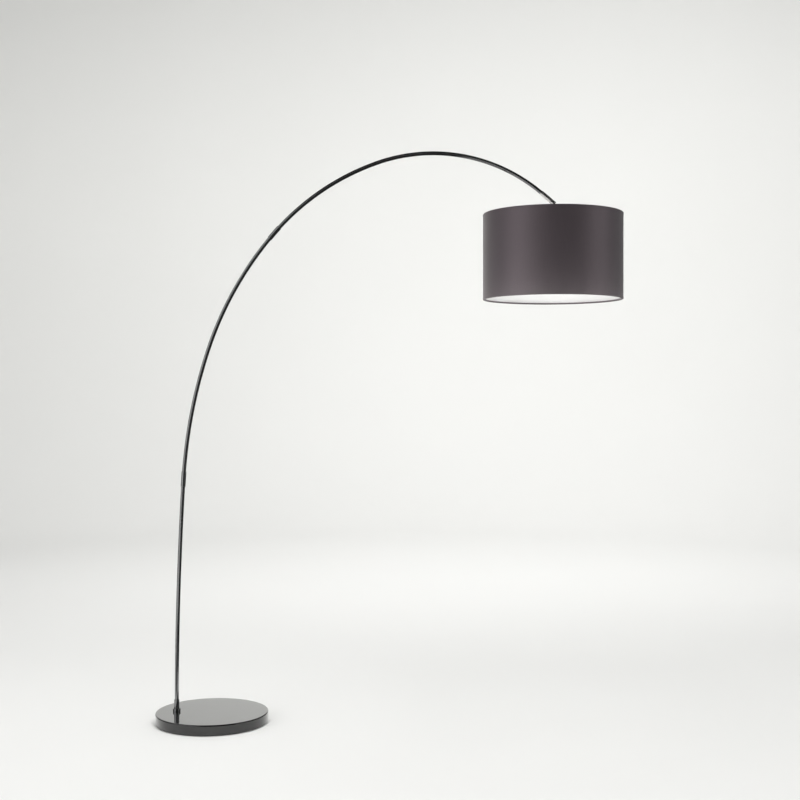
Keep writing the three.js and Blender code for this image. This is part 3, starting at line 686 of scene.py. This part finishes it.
def back_drill(point, radius):
    """A tool that drills a hole into the back of something round."""
    return cylinder(radius, 3 * MM, 20 * MM, straight(point, Y, X), sides=32)


def grub_screw(name, point, radius, start, end):
    """A headless screw pointing out of the back, with a hexagon socket."""
    axis = straight(point, Y, X)
    screw = turned(name, ring_section(0, radius, start, end, (0, 0.3, 0.2, 0), steps=3), axis, sides=40)
    socket = extruded("tool", hexagon(1.05 * radius), axis, end - 0.9 * radius, end + 1 * MM)
    return combined(screw, [socket], "DIFFERENCE")


def foot_ring():
    """The ring round the pole's foot, and the screw at its back that holds the pole."""
    radius, bottom, top = measures("foot_ring")
    bore = measures("pole_socket")[0] + 0.3 * MM
    outline = ring_section(bore, radius, bottom, top, (0, 0.5, 1.1, 0.4))
    ring = turned("foot_ring_piece", outline, straight(POLE))
    screw_point = POLE + Z * middle("pole_screw").z
    combined(ring, [back_drill(screw_point, POLE_SCREW_HOLE)], "DIFFERENCE")
    start, end = TUBE_RADIUS + 0.3 * MM, radius - 0.5 * MM
    screw = grub_screw("pole_grub_screw", screw_point, POLE_SCREW_RADIUS, start, end)
    placed(screw, "base", "zinc_steel", "pole_screw")
    placed(ring, "base", "black_nickel", "foot_ring")


def pole_socket():
    radius, bottom, top = measures("pole_socket")
    bore = 7.3 * MM
    outline = ring_section(bore, radius, bottom, top, (0, 0.3, 0.9, 0.35))
    placed(turned("socket", outline, straight(POLE)), "base", "black_nickel", "pole_socket")


def cable_gland():
    """The inlet's ribbed dome on a hexagon, with an empty mouth."""
    angle = radians(GLAND_ANGLE)
    outward = Vector((cos(angle), sin(angle), 0))
    axis = straight(outward * BASE_RADIUS + Z * middle("cable_gland").z, outward, Z)
    bore, barrel, hood, tip = 3.0 * MM, 5.9 * MM, 6.9 * MM, 5.2 * MM
    inner_end, collar, shoulder, reach = -14 * MM, 3 * MM, 6 * MM, 10 * MM
    ribs, rib_height, ribs_start = 18, 0.25 * MM, collar + 0.5 * MM

    def ribbed(r, s, around_axis):
        return rib_height * cos(ribs * around_axis) if r > 6 * MM and s > ribs_start else 0

    dome = turned("gland", rounded([
        (bore, inner_end, 0),
        (barrel, inner_end, 0.3),
        (barrel, collar, 0),
        (hood, collar + 0.2 * MM, 0.3),
        (hood, shoulder, 1.5),
        (tip, reach, 0.9),
        (bore, reach, 0.5),
    ]), axis, sides=72, relief=ribbed)
    flats, face, outer_face = 13.4 * MM, 0.35 * MM, 4 * MM
    flange = bevelled(extruded("tool", hexagon(flats), axis, face, outer_face), 0.4 * MM)
    combined(flange, [cylinder(bore, -1 * MM, outer_face + 1 * MM, axis)], "DIFFERENCE")
    combined(dome, [flange], "UNION")
    placed(dome, "base", "black_plastic", "cable_gland")


# ---- arc ----


def tube_outline(start, end, outer, inner, ease):
    """The wall of a tube along the arc, with its outer edges eased (in mm)."""
    return divided(ring_section(inner, outer, start, end, (0, ease, ease, 0), steps=3), 10 * MM)


def arc_tube(name, start, end, node):
    outline = tube_outline(start, end, TUBE_RADIUS, TUBE_BORE, 0.4)
    placed(turned(name, outline, arc_station, sides=48), "arc", "black_nickel", node)


def arc_screw(name, distance, outer, node):
    """A grub screw in the back of a piece that slides over the tube."""
    point = arc_station(distance)[0]
    screw = grub_screw(name, point, ARC_SCREW_RADIUS, TUBE_RADIUS + 0.1 * MM, outer - 0.1 * MM)
    placed(screw, "arc", "zinc_steel", node)


def coupling(place, joint):
    """The sleeve over a joint, with its two screws."""
    outline = tube_outline(joint - SLEEVE_HALF, joint + SLEEVE_HALF, SLEEVE_RADIUS, SLIDING_BORE, 0.8)
    sleeve = turned(f"{place}_sleeve", outline, arc_station, sides=64)
    distances = (joint - SCREW_OFFSET, joint + SCREW_OFFSET)
    drills = [back_drill(arc_station(distance)[0], ARC_SCREW_HOLE) for distance in distances]
    combined(sleeve, drills, "DIFFERENCE")
    for number, distance in enumerate(distances, 1):
        name = f"{place}_sleeve_screw_{number}"
        arc_screw(name, distance, SLEEVE_RADIUS, f"{place}_coupling_screw_{number}")
    placed(sleeve, "arc", "black_nickel", f"{place}_coupling")


PIVOT_AXIS = straight(PIVOT, Y, X)  # towards the back of the lamp


def end_ferrule():
    """The sleeve on the tube's end, with a fork in its tip for the knuckle."""
    origin = arc_station(FERRULE_START)[0]
    along = (arc_station(FERRULE_END)[0] - origin).normalized()
    axis = straight(origin, along, Y)
    fork_floor, half_gap, half_width = FERRULE_LENGTH - 19.5 * MM, 4.4 * MM, 7.6 * MM
    clear, past_tip = 20 * MM, 80 * MM
    body = turned("ferrule", rounded([
        (0, FERRULE_SOCKET, 0),
        (SLIDING_BORE, FERRULE_SOCKET, 0),
        (SLIDING_BORE, 0, 0),
        (FERRULE_RADIUS, 0, 0.6),
        (FERRULE_RADIUS, FERRULE_LENGTH, 0.8),
        (0, FERRULE_LENGTH, 0),
    ]), axis)

    def slab(low, high):
        """A cutter for the fork's end, between two distances from its middle."""
        sides = [(low, -clear), (high, -clear), (high, clear), (low, clear)]
        return extruded("tool", sides, axis, fork_floor, past_tip)

    combined(body, [
        slab(-half_gap, half_gap),
        slab(half_width, clear),
        slab(-clear, -half_width),
        cylinder(PIVOT_HOLE, -clear, clear, PIVOT_AXIS),
        cylinder(LEAD_BORE, 30 * MM, 50 * MM, axis),
        back_drill(origin + along * FERRULE_SCREW, ARC_SCREW_HOLE),
    ], "DIFFERENCE")
    bevelled(body, 0.3 * MM, segments=2)
    arc_screw("ferrule_grub_screw", FERRULE_START + FERRULE_SCREW, FERRULE_RADIUS, "ferrule_screw")
    placed(body, "arc", "bright_nickel", "end_ferrule")


def pivot_fasteners():
    """The knuckle's screw, with its head in front, and the nut at the back."""
    ear = 7.9 * MM  # from the middle of the knuckle to the faces of the head and the nut
    shank, head, crown, head_height = 2.0 * MM, 3.6 * MM, 2.6 * MM, 2.4 * MM
    nut_height, beyond_nut = 3.2 * MM, 0.2 * MM
    top, end = -ear - head_height, ear + nut_height + beyond_nut
    screw = turned("knuckle_screw", rounded([
        (0, top, 0),
        (crown, top, 0.8),
        (head, -ear - 0.9 * MM, 0.3),
        (head, -ear, 0.2),
        (shank, -ear, 0),
        (shank, end, 0.4),
        (0, end, 0),
    ]), PIVOT_AXIS, sides=64)
    socket = extruded("tool", hexagon(2.5 * MM), PIVOT_AXIS, top - 0.6 * MM, -ear - 1.1 * MM)
    combined(screw, [socket], "DIFFERENCE")
    placed(screw, "arc", "black_nickel", "pivot_screw")
    nut = extruded("knuckle_nut", hexagon(7 * MM), PIVOT_AXIS, ear, ear + nut_height)
    combined(nut, [cylinder(shank + 0.15 * MM, 0, 20 * MM, PIVOT_AXIS)], "DIFFERENCE")
    placed(bevelled(nut, 0.35 * MM), "arc", "black_nickel", "pivot_nut")


# ---- head ----


def below_pivot(height):
    """A height in the head, given in millimetres from the pivot."""
    return PIVOT.z + height * MM


HEAD = straight(Vector((PIVOT.x, 0, 0)))  # upright, through the pivot


def swivel_stem():
    """The hollow stem that the shade hangs on, with a flat eye for the pivot."""
    top, shoulder, bottom = (below_pivot(h) for h in (-12, -38, -52))
    radius, thread_radius = 5.5 * MM, 4.9 * MM
    stem = turned("stem", rounded([
        (0, top, 0),
        (radius, top, 0.8),
        (radius, shoulder, 0.3),
        (thread_radius, shoulder, 0),
        (thread_radius, bottom, 0.4),
        (0, bottom, 0),
    ]), HEAD, sides=64)
    front, back, eye_radius = -4.1 * MM, -0.4 * MM, 6.5 * MM
    eye = turned("tool", ring_section(0, eye_radius, front, back, (0, 0.4, 0.4, 0)), PIVOT_AXIS, sides=64)
    half_width, reach = 4.5 * MM, 15 * MM
    flat = [(-half_width, 0), (half_width, 0), (half_width, reach), (-half_width, reach)]
    combined(stem, [eye, extruded("tool", flat, PIVOT_AXIS, front, back)], "UNION")
    bores = [
        cylinder(PIVOT_HOLE, -20 * MM, 20 * MM, PIVOT_AXIS),
        cylinder(LEAD_BORE, bottom - 1 * MM, top + 0.5 * MM, HEAD),
    ]
    combined(stem, bores, "DIFFERENCE")
    placed(stem, "head", "black_nickel", "swivel_stem")


def pivot_bush():
    """The spacer behind the eye, which leaves room for the lead."""
    radius, front, back = 3.5 * MM, -0.1 * MM, 4.1 * MM
    outline = ring_section(PIVOT_HOLE, radius, front, back, (0, 0.2, 0.2, 0), steps=2)
    placed(turned("bush", outline, PIVOT_AXIS, sides=48), "head", "zinc_steel", "pivot_bush")


def stem_nut():
    """The nut that locks the stem in the lampholder."""
    nut = extruded("stem_lock_nut", hexagon(14 * MM), HEAD, below_pivot(-42.4), below_pivot(-38.6))
    below, above = 1, 2.5  # well past the nut
    combined(nut, [cylinder(5.1 * MM, below, above, HEAD)], "DIFFERENCE")
    placed(bevelled(nut, 0.5 * MM), "head", "zinc_steel", "stem_nut")


def lampholder():
    """The fluted cap and the threaded body of the holder."""
    radius = measures("holder_cap")[0]
    top, split, mouth = (below_pivot(h) for h in (-42.8, -68, -100))
    wall = 1.9 * MM
    bore, collar, collar_height, crown = 5.3 * MM, 8.5 * MM, 2.4 * MM, 4.6 * MM
    cap = turned("lampholder_cap", rounded([
        (bore, top, 0.3),
        (collar, top, 0.4),
        (collar + 0.3 * MM, top - collar_height, 0.6),
        (radius, top - collar_height - 0.2 * MM, 8.5),
        (radius, split, 0.5),
        (radius - wall, split, 0.2),
        (radius - wall, top - crown, 6.5),
        (bore, top - crown, 0),
    ], steps=8), HEAD, sides=120, relief=flutes(15, 0.35 * MM, radius, top - 11 * MM))
    placed(cap, "head", "black_plastic", "holder_cap")
    outline = ring_section(radius - wall, radius, split - 0.4 * MM, mouth, (0, 0.4, 0.8, 0.4))
    thread = screw_thread(2.6 * MM, 0.45 * MM, radius, mouth + 2 * MM, split - 4 * MM)
    body = turned("lampholder_body", divided(outline, 0.35 * MM), HEAD, relief=thread)
    placed(body, "head", "black_plastic", "holder_body")


def clamp_ring(which):
    """One of two rings that clamp the shade's hub: a fluted flange with a narrower neck."""
    node = f"shade_ring_{which}"
    outer, bottom, top = measures(node)
    hub_side, far_side, away = (bottom, top, 1) if which == "upper" else (top, bottom, -1)
    bore, neck, neck_taper = 20.2 * MM, 23.5 * MM, 0.64 * MM
    shoulder = hub_side + away * 3.4 * MM
    ring = turned(f"clamp_ring_{which}", rounded([
        (bore, hub_side, 0.2),
        (outer, hub_side, 0.5),
        (outer, shoulder, 0.7),
        (neck, shoulder, 0.4),
        (neck - neck_taper, far_side, 0.5),
        (bore, far_side, 0.3),
    ]), HEAD, sides=144, relief=flutes(18, 0.35 * MM, outer))
    placed(ring, "head", "black_plastic", node)


BULB_NECK, BULB_CENTRE = below_pivot(-106), below_pivot(-158)
BULB_RADIUS = 30 * MM
BULB_NECK_RADIUS = 13.4 * MM
BULB_SHOULDER = 40  # degrees above the ball's centre, where the flare meets it


def bulb_side(inset):
    """The bulb's outline from its neck to its tip, moved inwards by an inset."""
    radius = BULB_RADIUS - inset
    shoulder = radians(BULB_SHOULDER)
    neck_length, handle, flare_points, ball_steps = 8 * MM, 9 * MM, 14, 24
    start = Vector((BULB_NECK_RADIUS - inset, BULB_NECK - neck_length, 0))
    end = Vector((radius * cos(shoulder), BULB_CENTRE + radius * sin(shoulder), 0))
    tangent = Vector((sin(shoulder), -cos(shoulder), 0))
    flare = interpolate_bezier(start, start - Y * handle, end - tangent * handle, end, flare_points)
    angles = [shoulder - (shoulder + pi / 2) * k / ball_steps for k in range(1, ball_steps)]
    ball = [(radius * cos(a), BULB_CENTRE + radius * sin(a)) for a in angles]
    neck, tip = (BULB_NECK_RADIUS - inset, BULB_NECK), (0, BULB_CENTRE - radius)
    return [neck] + [(p.x, p.y) for p in flare] + ball + [tip]


def bulb_glass():
    wall = 1 * MM
    glass = turned("glass", bulb_side(wall)[::-1] + bulb_side(0), HEAD)
    placed(glass, "head", "frosted_glass", "bulb_glass")


def bulb_cap():
    radius, _, top = measures("bulb_cap")
    bottom = BULB_NECK + 0.3 * MM
    outline = rounded([
        (0, top, 0),
        (9 * MM, top, 0.4),
        (radius, top - 3 * MM, 0.6),
        (radius, bottom, 0.3),
        (0, bottom, 0),
    ])
    finer = divided(outline[:-1], 0.45 * MM, closed=False) + outline[-1:]
    thread = screw_thread(3.62 * MM, 0.7 * MM, radius, BULB_NECK + 5 * MM, top - 3.5 * MM)
    placed(turned("screw_cap", finer, HEAD, relief=thread), "head", "brass", "bulb_cap")


HUB_RADIUS, HUB_BOTTOM, HUB_TOP = measures("spider_hub")


def spider_hub():
    """The flat ring that the lampholder's rings clamp."""
    bore = 20.3 * MM
    outline = ring_section(bore, HUB_RADIUS, HUB_BOTTOM, HUB_TOP, (0.4, 0.9, 0.9, 0.4))
    placed(turned("hub_ring", outline, HEAD, sides=120), "head", "white_wire", "spider_hub")


def rim_wire(place):
    """The round wire inside the shade's top or bottom rim."""
    height = middle(f"shade_{place}_wire").z
    angles = [radians(30 * k) for k in range(12)]
    section = [(WIRE_CIRCLE + WIRE_RADIUS * cos(a), height + WIRE_RADIUS * sin(a)) for a in angles]
    piece = turned(f"{place}_wire", section, HEAD, sides=192)
    placed(piece, "head", "white_wire", f"shade_{place}_wire")


def spider_arm(number):
    """One of three wires from the hub up to the top rim."""
    angle = radians(60 + 120 * (number - 1))
    outward = Vector((cos(angle), sin(angle), 0))
    hub_height, rim_height = middle("spider_hub").z, middle("shade_top_wire").z
    slope, handle = radians(50), 26 * MM
    reach = WIRE_RADIUS + 0.1 * MM
    end_radius, end_height = WIRE_CIRCLE - reach * cos(slope), rim_height - reach * sin(slope)

    def spot(radius, height):
        return SHADE + outward * radius + Z * height

    route = interpolate_bezier(
        spot(HUB_RADIUS - 0.2 * MM, hub_height),
        spot(0.6 * WIRE_CIRCLE, hub_height),
        spot(end_radius - handle * cos(slope), end_height - handle * sin(slope)),
        spot(end_radius, end_height),
        40,
    )
    placed(swept(f"arm_{number}", route, ARM_RADIUS), "head", "white_wire", f"spider_arm_{number}")


def shade_fabric():
    """The cloth skin, rolled over each rim wire and tucked in behind it."""
    cloth, tuck = 1 * MM, 5.6 * MM
    inside = SHADE_RADIUS - 1.1 * MM
    lip_back = SHADE_RADIUS - 7.0 * MM
    lip_face = lip_back - cloth
    outline = rounded([
        (SHADE_RADIUS, SHADE_BOTTOM, 2.4),
        (SHADE_RADIUS, SHADE_TOP, 2.4),
        (lip_face, SHADE_TOP, 1.3),
        (lip_face, SHADE_TOP - tuck, 0.4),
        (lip_back, SHADE_TOP - tuck, 0.4),
        (lip_back, SHADE_TOP - cloth, 0.3),
        (inside, SHADE_TOP - cloth, 0.3),
        (inside, SHADE_BOTTOM + cloth, 0.3),
        (lip_back, SHADE_BOTTOM + cloth, 0.3),
        (lip_back, SHADE_BOTTOM + tuck, 0.4),
        (lip_face, SHADE_BOTTOM + tuck, 0.4),
        (lip_face, SHADE_BOTTOM, 1.3),
    ])
    middle_height = (SHADE_BOTTOM + SHADE_TOP) / 2
    half = SHADE_TOP - middle_height
    set_back, bead, bead_centre, bead_width = 0.55 * MM, 0.75 * MM, 2.6 * MM, 2.2 * MM

    def beaded(r, s, angle):
        """Sets the wall back a little, and lets it swell over each rim wire."""
        if r < SHADE_RADIUS - 3 * MM:
            return 0
        from_rim = half - abs(s - middle_height)
        return bead * exp(-((from_rim - bead_centre) / bead_width) ** 2) - set_back

    piece = turned("fabric", divided(outline, 8 * MM), HEAD, sides=320, relief=beaded)
    placed(piece, "head", "charcoal_fabric", "shade_fabric")
    overlap = seam()


def seam():
    """The cloth's overlap at the back of the shade: a thin upright strip."""
    half_angle = SEAM_WIDTH / 2 / SHADE_RADIUS
    columns, rows = 8, 40
    cloth_face, buried, raised, margin = SHADE_RADIUS - 0.5 * MM, 0.4 * MM, 0.6 * MM, 1.6 * MM
    low, high = SHADE_BOTTOM + margin, SHADE_TOP - margin
    bm = bmesh.new()
    uv = bm.loops.layers.uv.new("UVMap")

    def layer(lift):
        """A curved grid of points. lift gives its height over the cloth at -1 to 1 across."""
        grid = []
        for i in range(columns + 1):
            across = i / columns * 2 - 1
            angle = pi / 2 + across * half_angle
            direction = Vector((cos(angle), sin(angle), 0))
            foot = SHADE + direction * (cloth_face + lift(across))
            grid.append([bm.verts.new(foot + Z * (low + (high - low) * j / rows)) for j in range(rows + 1)])
        return grid

    def panel(a, b, c, d):
        face = bm.faces.new((a, b, c, d))
        for loop in face.loops:
            offset = loop.vert.co - SHADE
            loop[uv].uv = (atan2(offset.y, offset.x) * SHADE_RADIUS, offset.z)

    inner = layer(lambda across: -buried)
    outer = layer(lambda across: raised * (1 - across**6))
    for grid in (inner, outer):
        for i in range(columns):
            for j in range(rows):
                panel(grid[i][j], grid[i + 1][j], grid[i + 1][j + 1], grid[i][j + 1])
    for j in range(rows):
        for i in (0, columns):
            panel(inner[i][j], inner[i][j + 1], outer[i][j + 1], outer[i][j])
    for i in range(columns):
        for j in (0, rows):
            panel(inner[i][j], inner[i + 1][j], outer[i + 1][j], outer[i][j])
    return placed(smooth(new_object("fabric_seam", bm), 60), "head", "charcoal_fabric")


def shade_lining():
    radius, bottom, top = measures("shade_lining")
    film = 1 * MM
    outline = [(radius - film, bottom), (radius, bottom), (radius, top), (radius - film, top)]
    piece = turned("lining", divided(outline, 12 * MM), HEAD, sides=320)
    placed(piece, "head", "white_lining", "shade_lining")


def knuckle_lead():
    """The lead's cores beside the pivot, swept as one fixed shape, though the real cores bend as the shade tilts.
    """
    back = (arc_station(FERRULE_START)[0] - arc_station(FERRULE_END)[0]).normalized()
    under = Vector((-back.z, 0, back.x))
    if under.z > 0:
        under.negate()

    # both give a place by its distances from the pivot in millimetres
    def in_ferrule(behind, below, beside=0):
        return PIVOT + (back * behind + under * below + Y * beside) * MM

    def in_head(x, y, z):
        return PIVOT + Vector((x, y, z)) * MM

    route = smooth_route([
        in_ferrule(16, 0),
        in_ferrule(11.7, 0),
        in_ferrule(8.6, 1.8, 1.4),
        in_ferrule(5.4, 3.9, 1.8),
        in_head(-5.6, 1.8, -3),
        in_head(-2.6, 1.8, -8),
        in_head(-0.8, 1.3, -12),
        in_head(0, 0.5, -16),
        in_head(0, 0, -20),
    ])
    piece = swept("pivot_lead", route, CORE_RADIUS, sides=20)
    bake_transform(piece)
    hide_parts("knuckle_lead")
    finished(piece, "lead_sheath")


# ---- studio ----

LAMP_MIDDLE = Vector((0.6, 0, 1.2))


def camera():
    data = bpy.data.cameras.new("camera")
    data.lens, data.sensor_width = 57.0, 36.0
    viewer = bpy.data.objects.new("camera", data)
    viewer.location = (0.6043, -4.5274, 1.1631)
    drop, turn = 0.00324, 0.01467  # radians below level and towards +X
    viewer.rotation_euler = (pi / 2 - drop, 0, -turn)
    SCENE.collection.objects.link(viewer)
    SCENE.camera = viewer


def studio_paper():
    """Matt pale paper with the faintest clouds."""
    n = Nodes("studio_paper")
    cloud = n.noise(n.object_place(), scale=0.6, detail=2.0)
    darker, lighter = (0.800, 0.801, 0.786, 1), (0.820, 0.821, 0.806, 1)
    n.shade(Base_Color=n.mixed(cloud, darker, lighter), Roughness=0.9, Specular_IOR_Level=0.1)
    return n.material


def backdrop(name, paper, first_degrees, last_degrees):
    """A sector of one seamless bowl: flat floor that curves up into a tall wall."""
    flat, curve, wall_top = 6.0, 3.0, 8.0  # the radii of the floor and the curve, and the height
    columns, floor_steps, curve_steps = 96, 3, 16
    outline = [(flat * k / floor_steps, 0.0) for k in range(floor_steps + 1)]
    for k in range(1, curve_steps + 1):
        angle = pi / 2 * k / curve_steps
        outline.append((flat + curve * sin(angle), curve * (1 - cos(angle))))
    outline.append((flat + curve, wall_top))
    bm = bmesh.new()
    grid = []
    for i in range(columns + 1):
        angle = radians(first_degrees + (last_degrees - first_degrees) * i / columns)
        x, y = cos(angle), sin(angle)
        grid.append([bm.verts.new((LAMP_MIDDLE.x + r * x, r * y, z)) for r, z in outline])
    for i in range(columns):
        for j in range(len(outline) - 1):
            bm.faces.new((grid[i][j], grid[i + 1][j], grid[i + 1][j + 1], grid[i][j + 1]))
    bmesh.ops.remove_doubles(bm, verts=bm.verts, dist=1e-5)
    mesh = bpy.data.meshes.new(name)
    bm.to_mesh(mesh)
    bm.free()
    mesh.shade_smooth()
    mesh.materials.append(paper)
    wall = bpy.data.objects.new(name, mesh)
    SCENE.collection.objects.link(wall)


def aimed(thing, place, target):
    """Puts a light or a card at a place, facing a target."""
    thing.location = place
    thing.rotation_euler = (Vector(target) - Vector(place)).to_track_quat("-Z", "Y").to_euler()
    SCENE.collection.objects.link(thing)
    return thing


def softbox(name, place, target, size, power, spread=180):
    """A rectangular light. In reflections, the cards take its place."""
    data = bpy.data.lights.new(name, "AREA")
    data.shape = "RECTANGLE"
    data.size, data.size_y = size
    data.energy = power
    data.spread = radians(spread)
    light = aimed(bpy.data.objects.new(name, data), place, target)
    light.visible_camera = False
    light.visible_glossy = False


def card(name, place, target, size, brightness):
    """A panel that only shows in reflections: a reflector, or a flag when it is dark."""
    n = Nodes(name + "_face")
    n.shade(Base_Color=grey(0), Roughness=1.0, Specular_IOR_Level=0.0)
    n.shade(Emission_Color=grey(1), Emission_Strength=brightness)
    x, y = size[0] / 2, size[1] / 2
    mesh = bpy.data.meshes.new(name)
    mesh.from_pydata([(-x, -y, 0), (x, -y, 0), (x, y, 0), (-x, y, 0)], [], [(0, 1, 2, 3)])
    mesh.materials.append(n.material)
    panel = aimed(bpy.data.objects.new(name, mesh), place, target)
    panel.visible_camera = False
    panel.visible_diffuse = False
    panel.visible_shadow = False


def around(degrees, distance, height):
    """A place round the lamp: 0 degrees is the camera's side and 90 the right side."""
    angle = radians(degrees)
    return Vector((LAMP_MIDDLE.x + distance * sin(angle), -distance * cos(angle), height))


def lights():
    """Soft light from above, washes for the walls and a little fill."""
    softbox("overhead", (0.8, -0.8, 6.0), (0.8, 0.2, 0.0), (5.0, 5.0), 350)
    softbox("wall_wash", (2.2, 1.5, 6.5), (1.3, 9.0, 1.3), (4.0, 2.5), 160, spread=110)
    softbox("front_wash", (0.6, -2.5, 6.5), (0.6, -9.0, 2.0), (4.0, 2.5), 110, spread=110)
    softbox("floor_wash", (1.0, 2.8, 6.0), (1.0, 2.8, 0.0), (9.0, 2.0), 24, spread=100)
    softbox("left_box", around(-60, 4.5, 2.0), LAMP_MIDDLE, (2.0, 2.5), 34)
    softbox("right_box", around(40, 5.0, 2.0), LAMP_MIDDLE, (1.5, 2.5), 11)
    softbox("floor_bounce", (1.1, -0.6, 0.02), (1.1, -0.6, 1.0), (3.0, 1.2), 22)


def cards():
    """What the plating and the satin cloth mirror: bright reflectors among dark flags."""
    card("ceiling_flag", (0.6, -1.95, 4.6), (0.6, -1.95, 0), (9.0, 7.1), 0.03)
    card("ceiling_glow", (0.6, 3.4, 4.6), (0.6, 3.4, 0), (9.0, 3.6), 0.35)
    card("left_reflector_near", (-1.58, -1.4, 1.7), LAMP_MIDDLE, (2.3, 4.0), 1.13)
    card("left_reflector_far", around(-100, 5.2, 1.8), LAMP_MIDDLE, (4.8, 4.5), 0.45)
    card("right_flag", around(14, 5.4, 1.8), LAMP_MIDDLE, (9.0, 4.5), 0.06)
    card("right_reflector", around(73, 5.1, 2.8), LAMP_MIDDLE, (2.0, 2.6), 1.4)
    card("right_flag_low", around(73, 5.2, 0.6), LAMP_MIDDLE, (2.0, 2.0), 0.06)
    card("right_flag_far", around(125, 5.3, 1.8), LAMP_MIDDLE, (8.9, 4.5), 0.23)
    card("floor_flag_near", (-0.15, -1.28, 0.01), (-0.15, -1.28, 1), (1.5, 1.84), 0.22)
    card("floor_flag_right", (3.55, -1.8, 0.01), (3.55, -1.8, 1), (5.9, 9.4), 0.06)
    card("floor_flag_back", (0.5, 3.0, 0.01), (0.5, 3.0, 1), (7.0, 4.2), 0.06)


def studio():
    paper = studio_paper()
    backdrop("backdrop_back", paper, 10, 170)
    backdrop("backdrop_front", paper, 170, 370)
    lights()
    cards()
    world = bpy.data.worlds.new("studio")
    SCENE.world = world
    world.use_nodes = True
    background = world.node_tree.nodes["Background"]
    background.inputs["Color"].default_value = (1, 1, 1, 1)
    background.inputs["Strength"].default_value = 0.05
    SCENE.view_settings.view_transform = "Standard"


# ---- the whole lamp ----

camera()
studio()
dress_cad_nodes()

base_cover()
base_pad()
bottom_plate()
foot_ring()
pole_socket()
cable_gland()

arc_tube("tube_lower", POLE_START, LOWER_JOINT - JOINT_HALF_GAP, "lower_tube")
arc_tube("tube_middle", LOWER_JOINT + JOINT_HALF_GAP, UPPER_JOINT - JOINT_HALF_GAP, "middle_tube")
tube_end = FERRULE_START + FERRULE_SOCKET - JOINT_HALF_GAP
arc_tube("tube_upper", UPPER_JOINT + JOINT_HALF_GAP, tube_end, "upper_tube")
coupling("lower", LOWER_JOINT)
coupling("upper", UPPER_JOINT)
end_ferrule()
pivot_fasteners()

swivel_stem()
pivot_bush()
stem_nut()
knuckle_lead()
lampholder()
clamp_ring("upper")
clamp_ring("lower")
bulb_glass()
bulb_cap()
spider_hub()
for rim in ("top", "bottom"):
    rim_wire(rim)
for arm in (1, 2, 3):
    spider_arm(arm)
shade_fabric()
shade_lining()
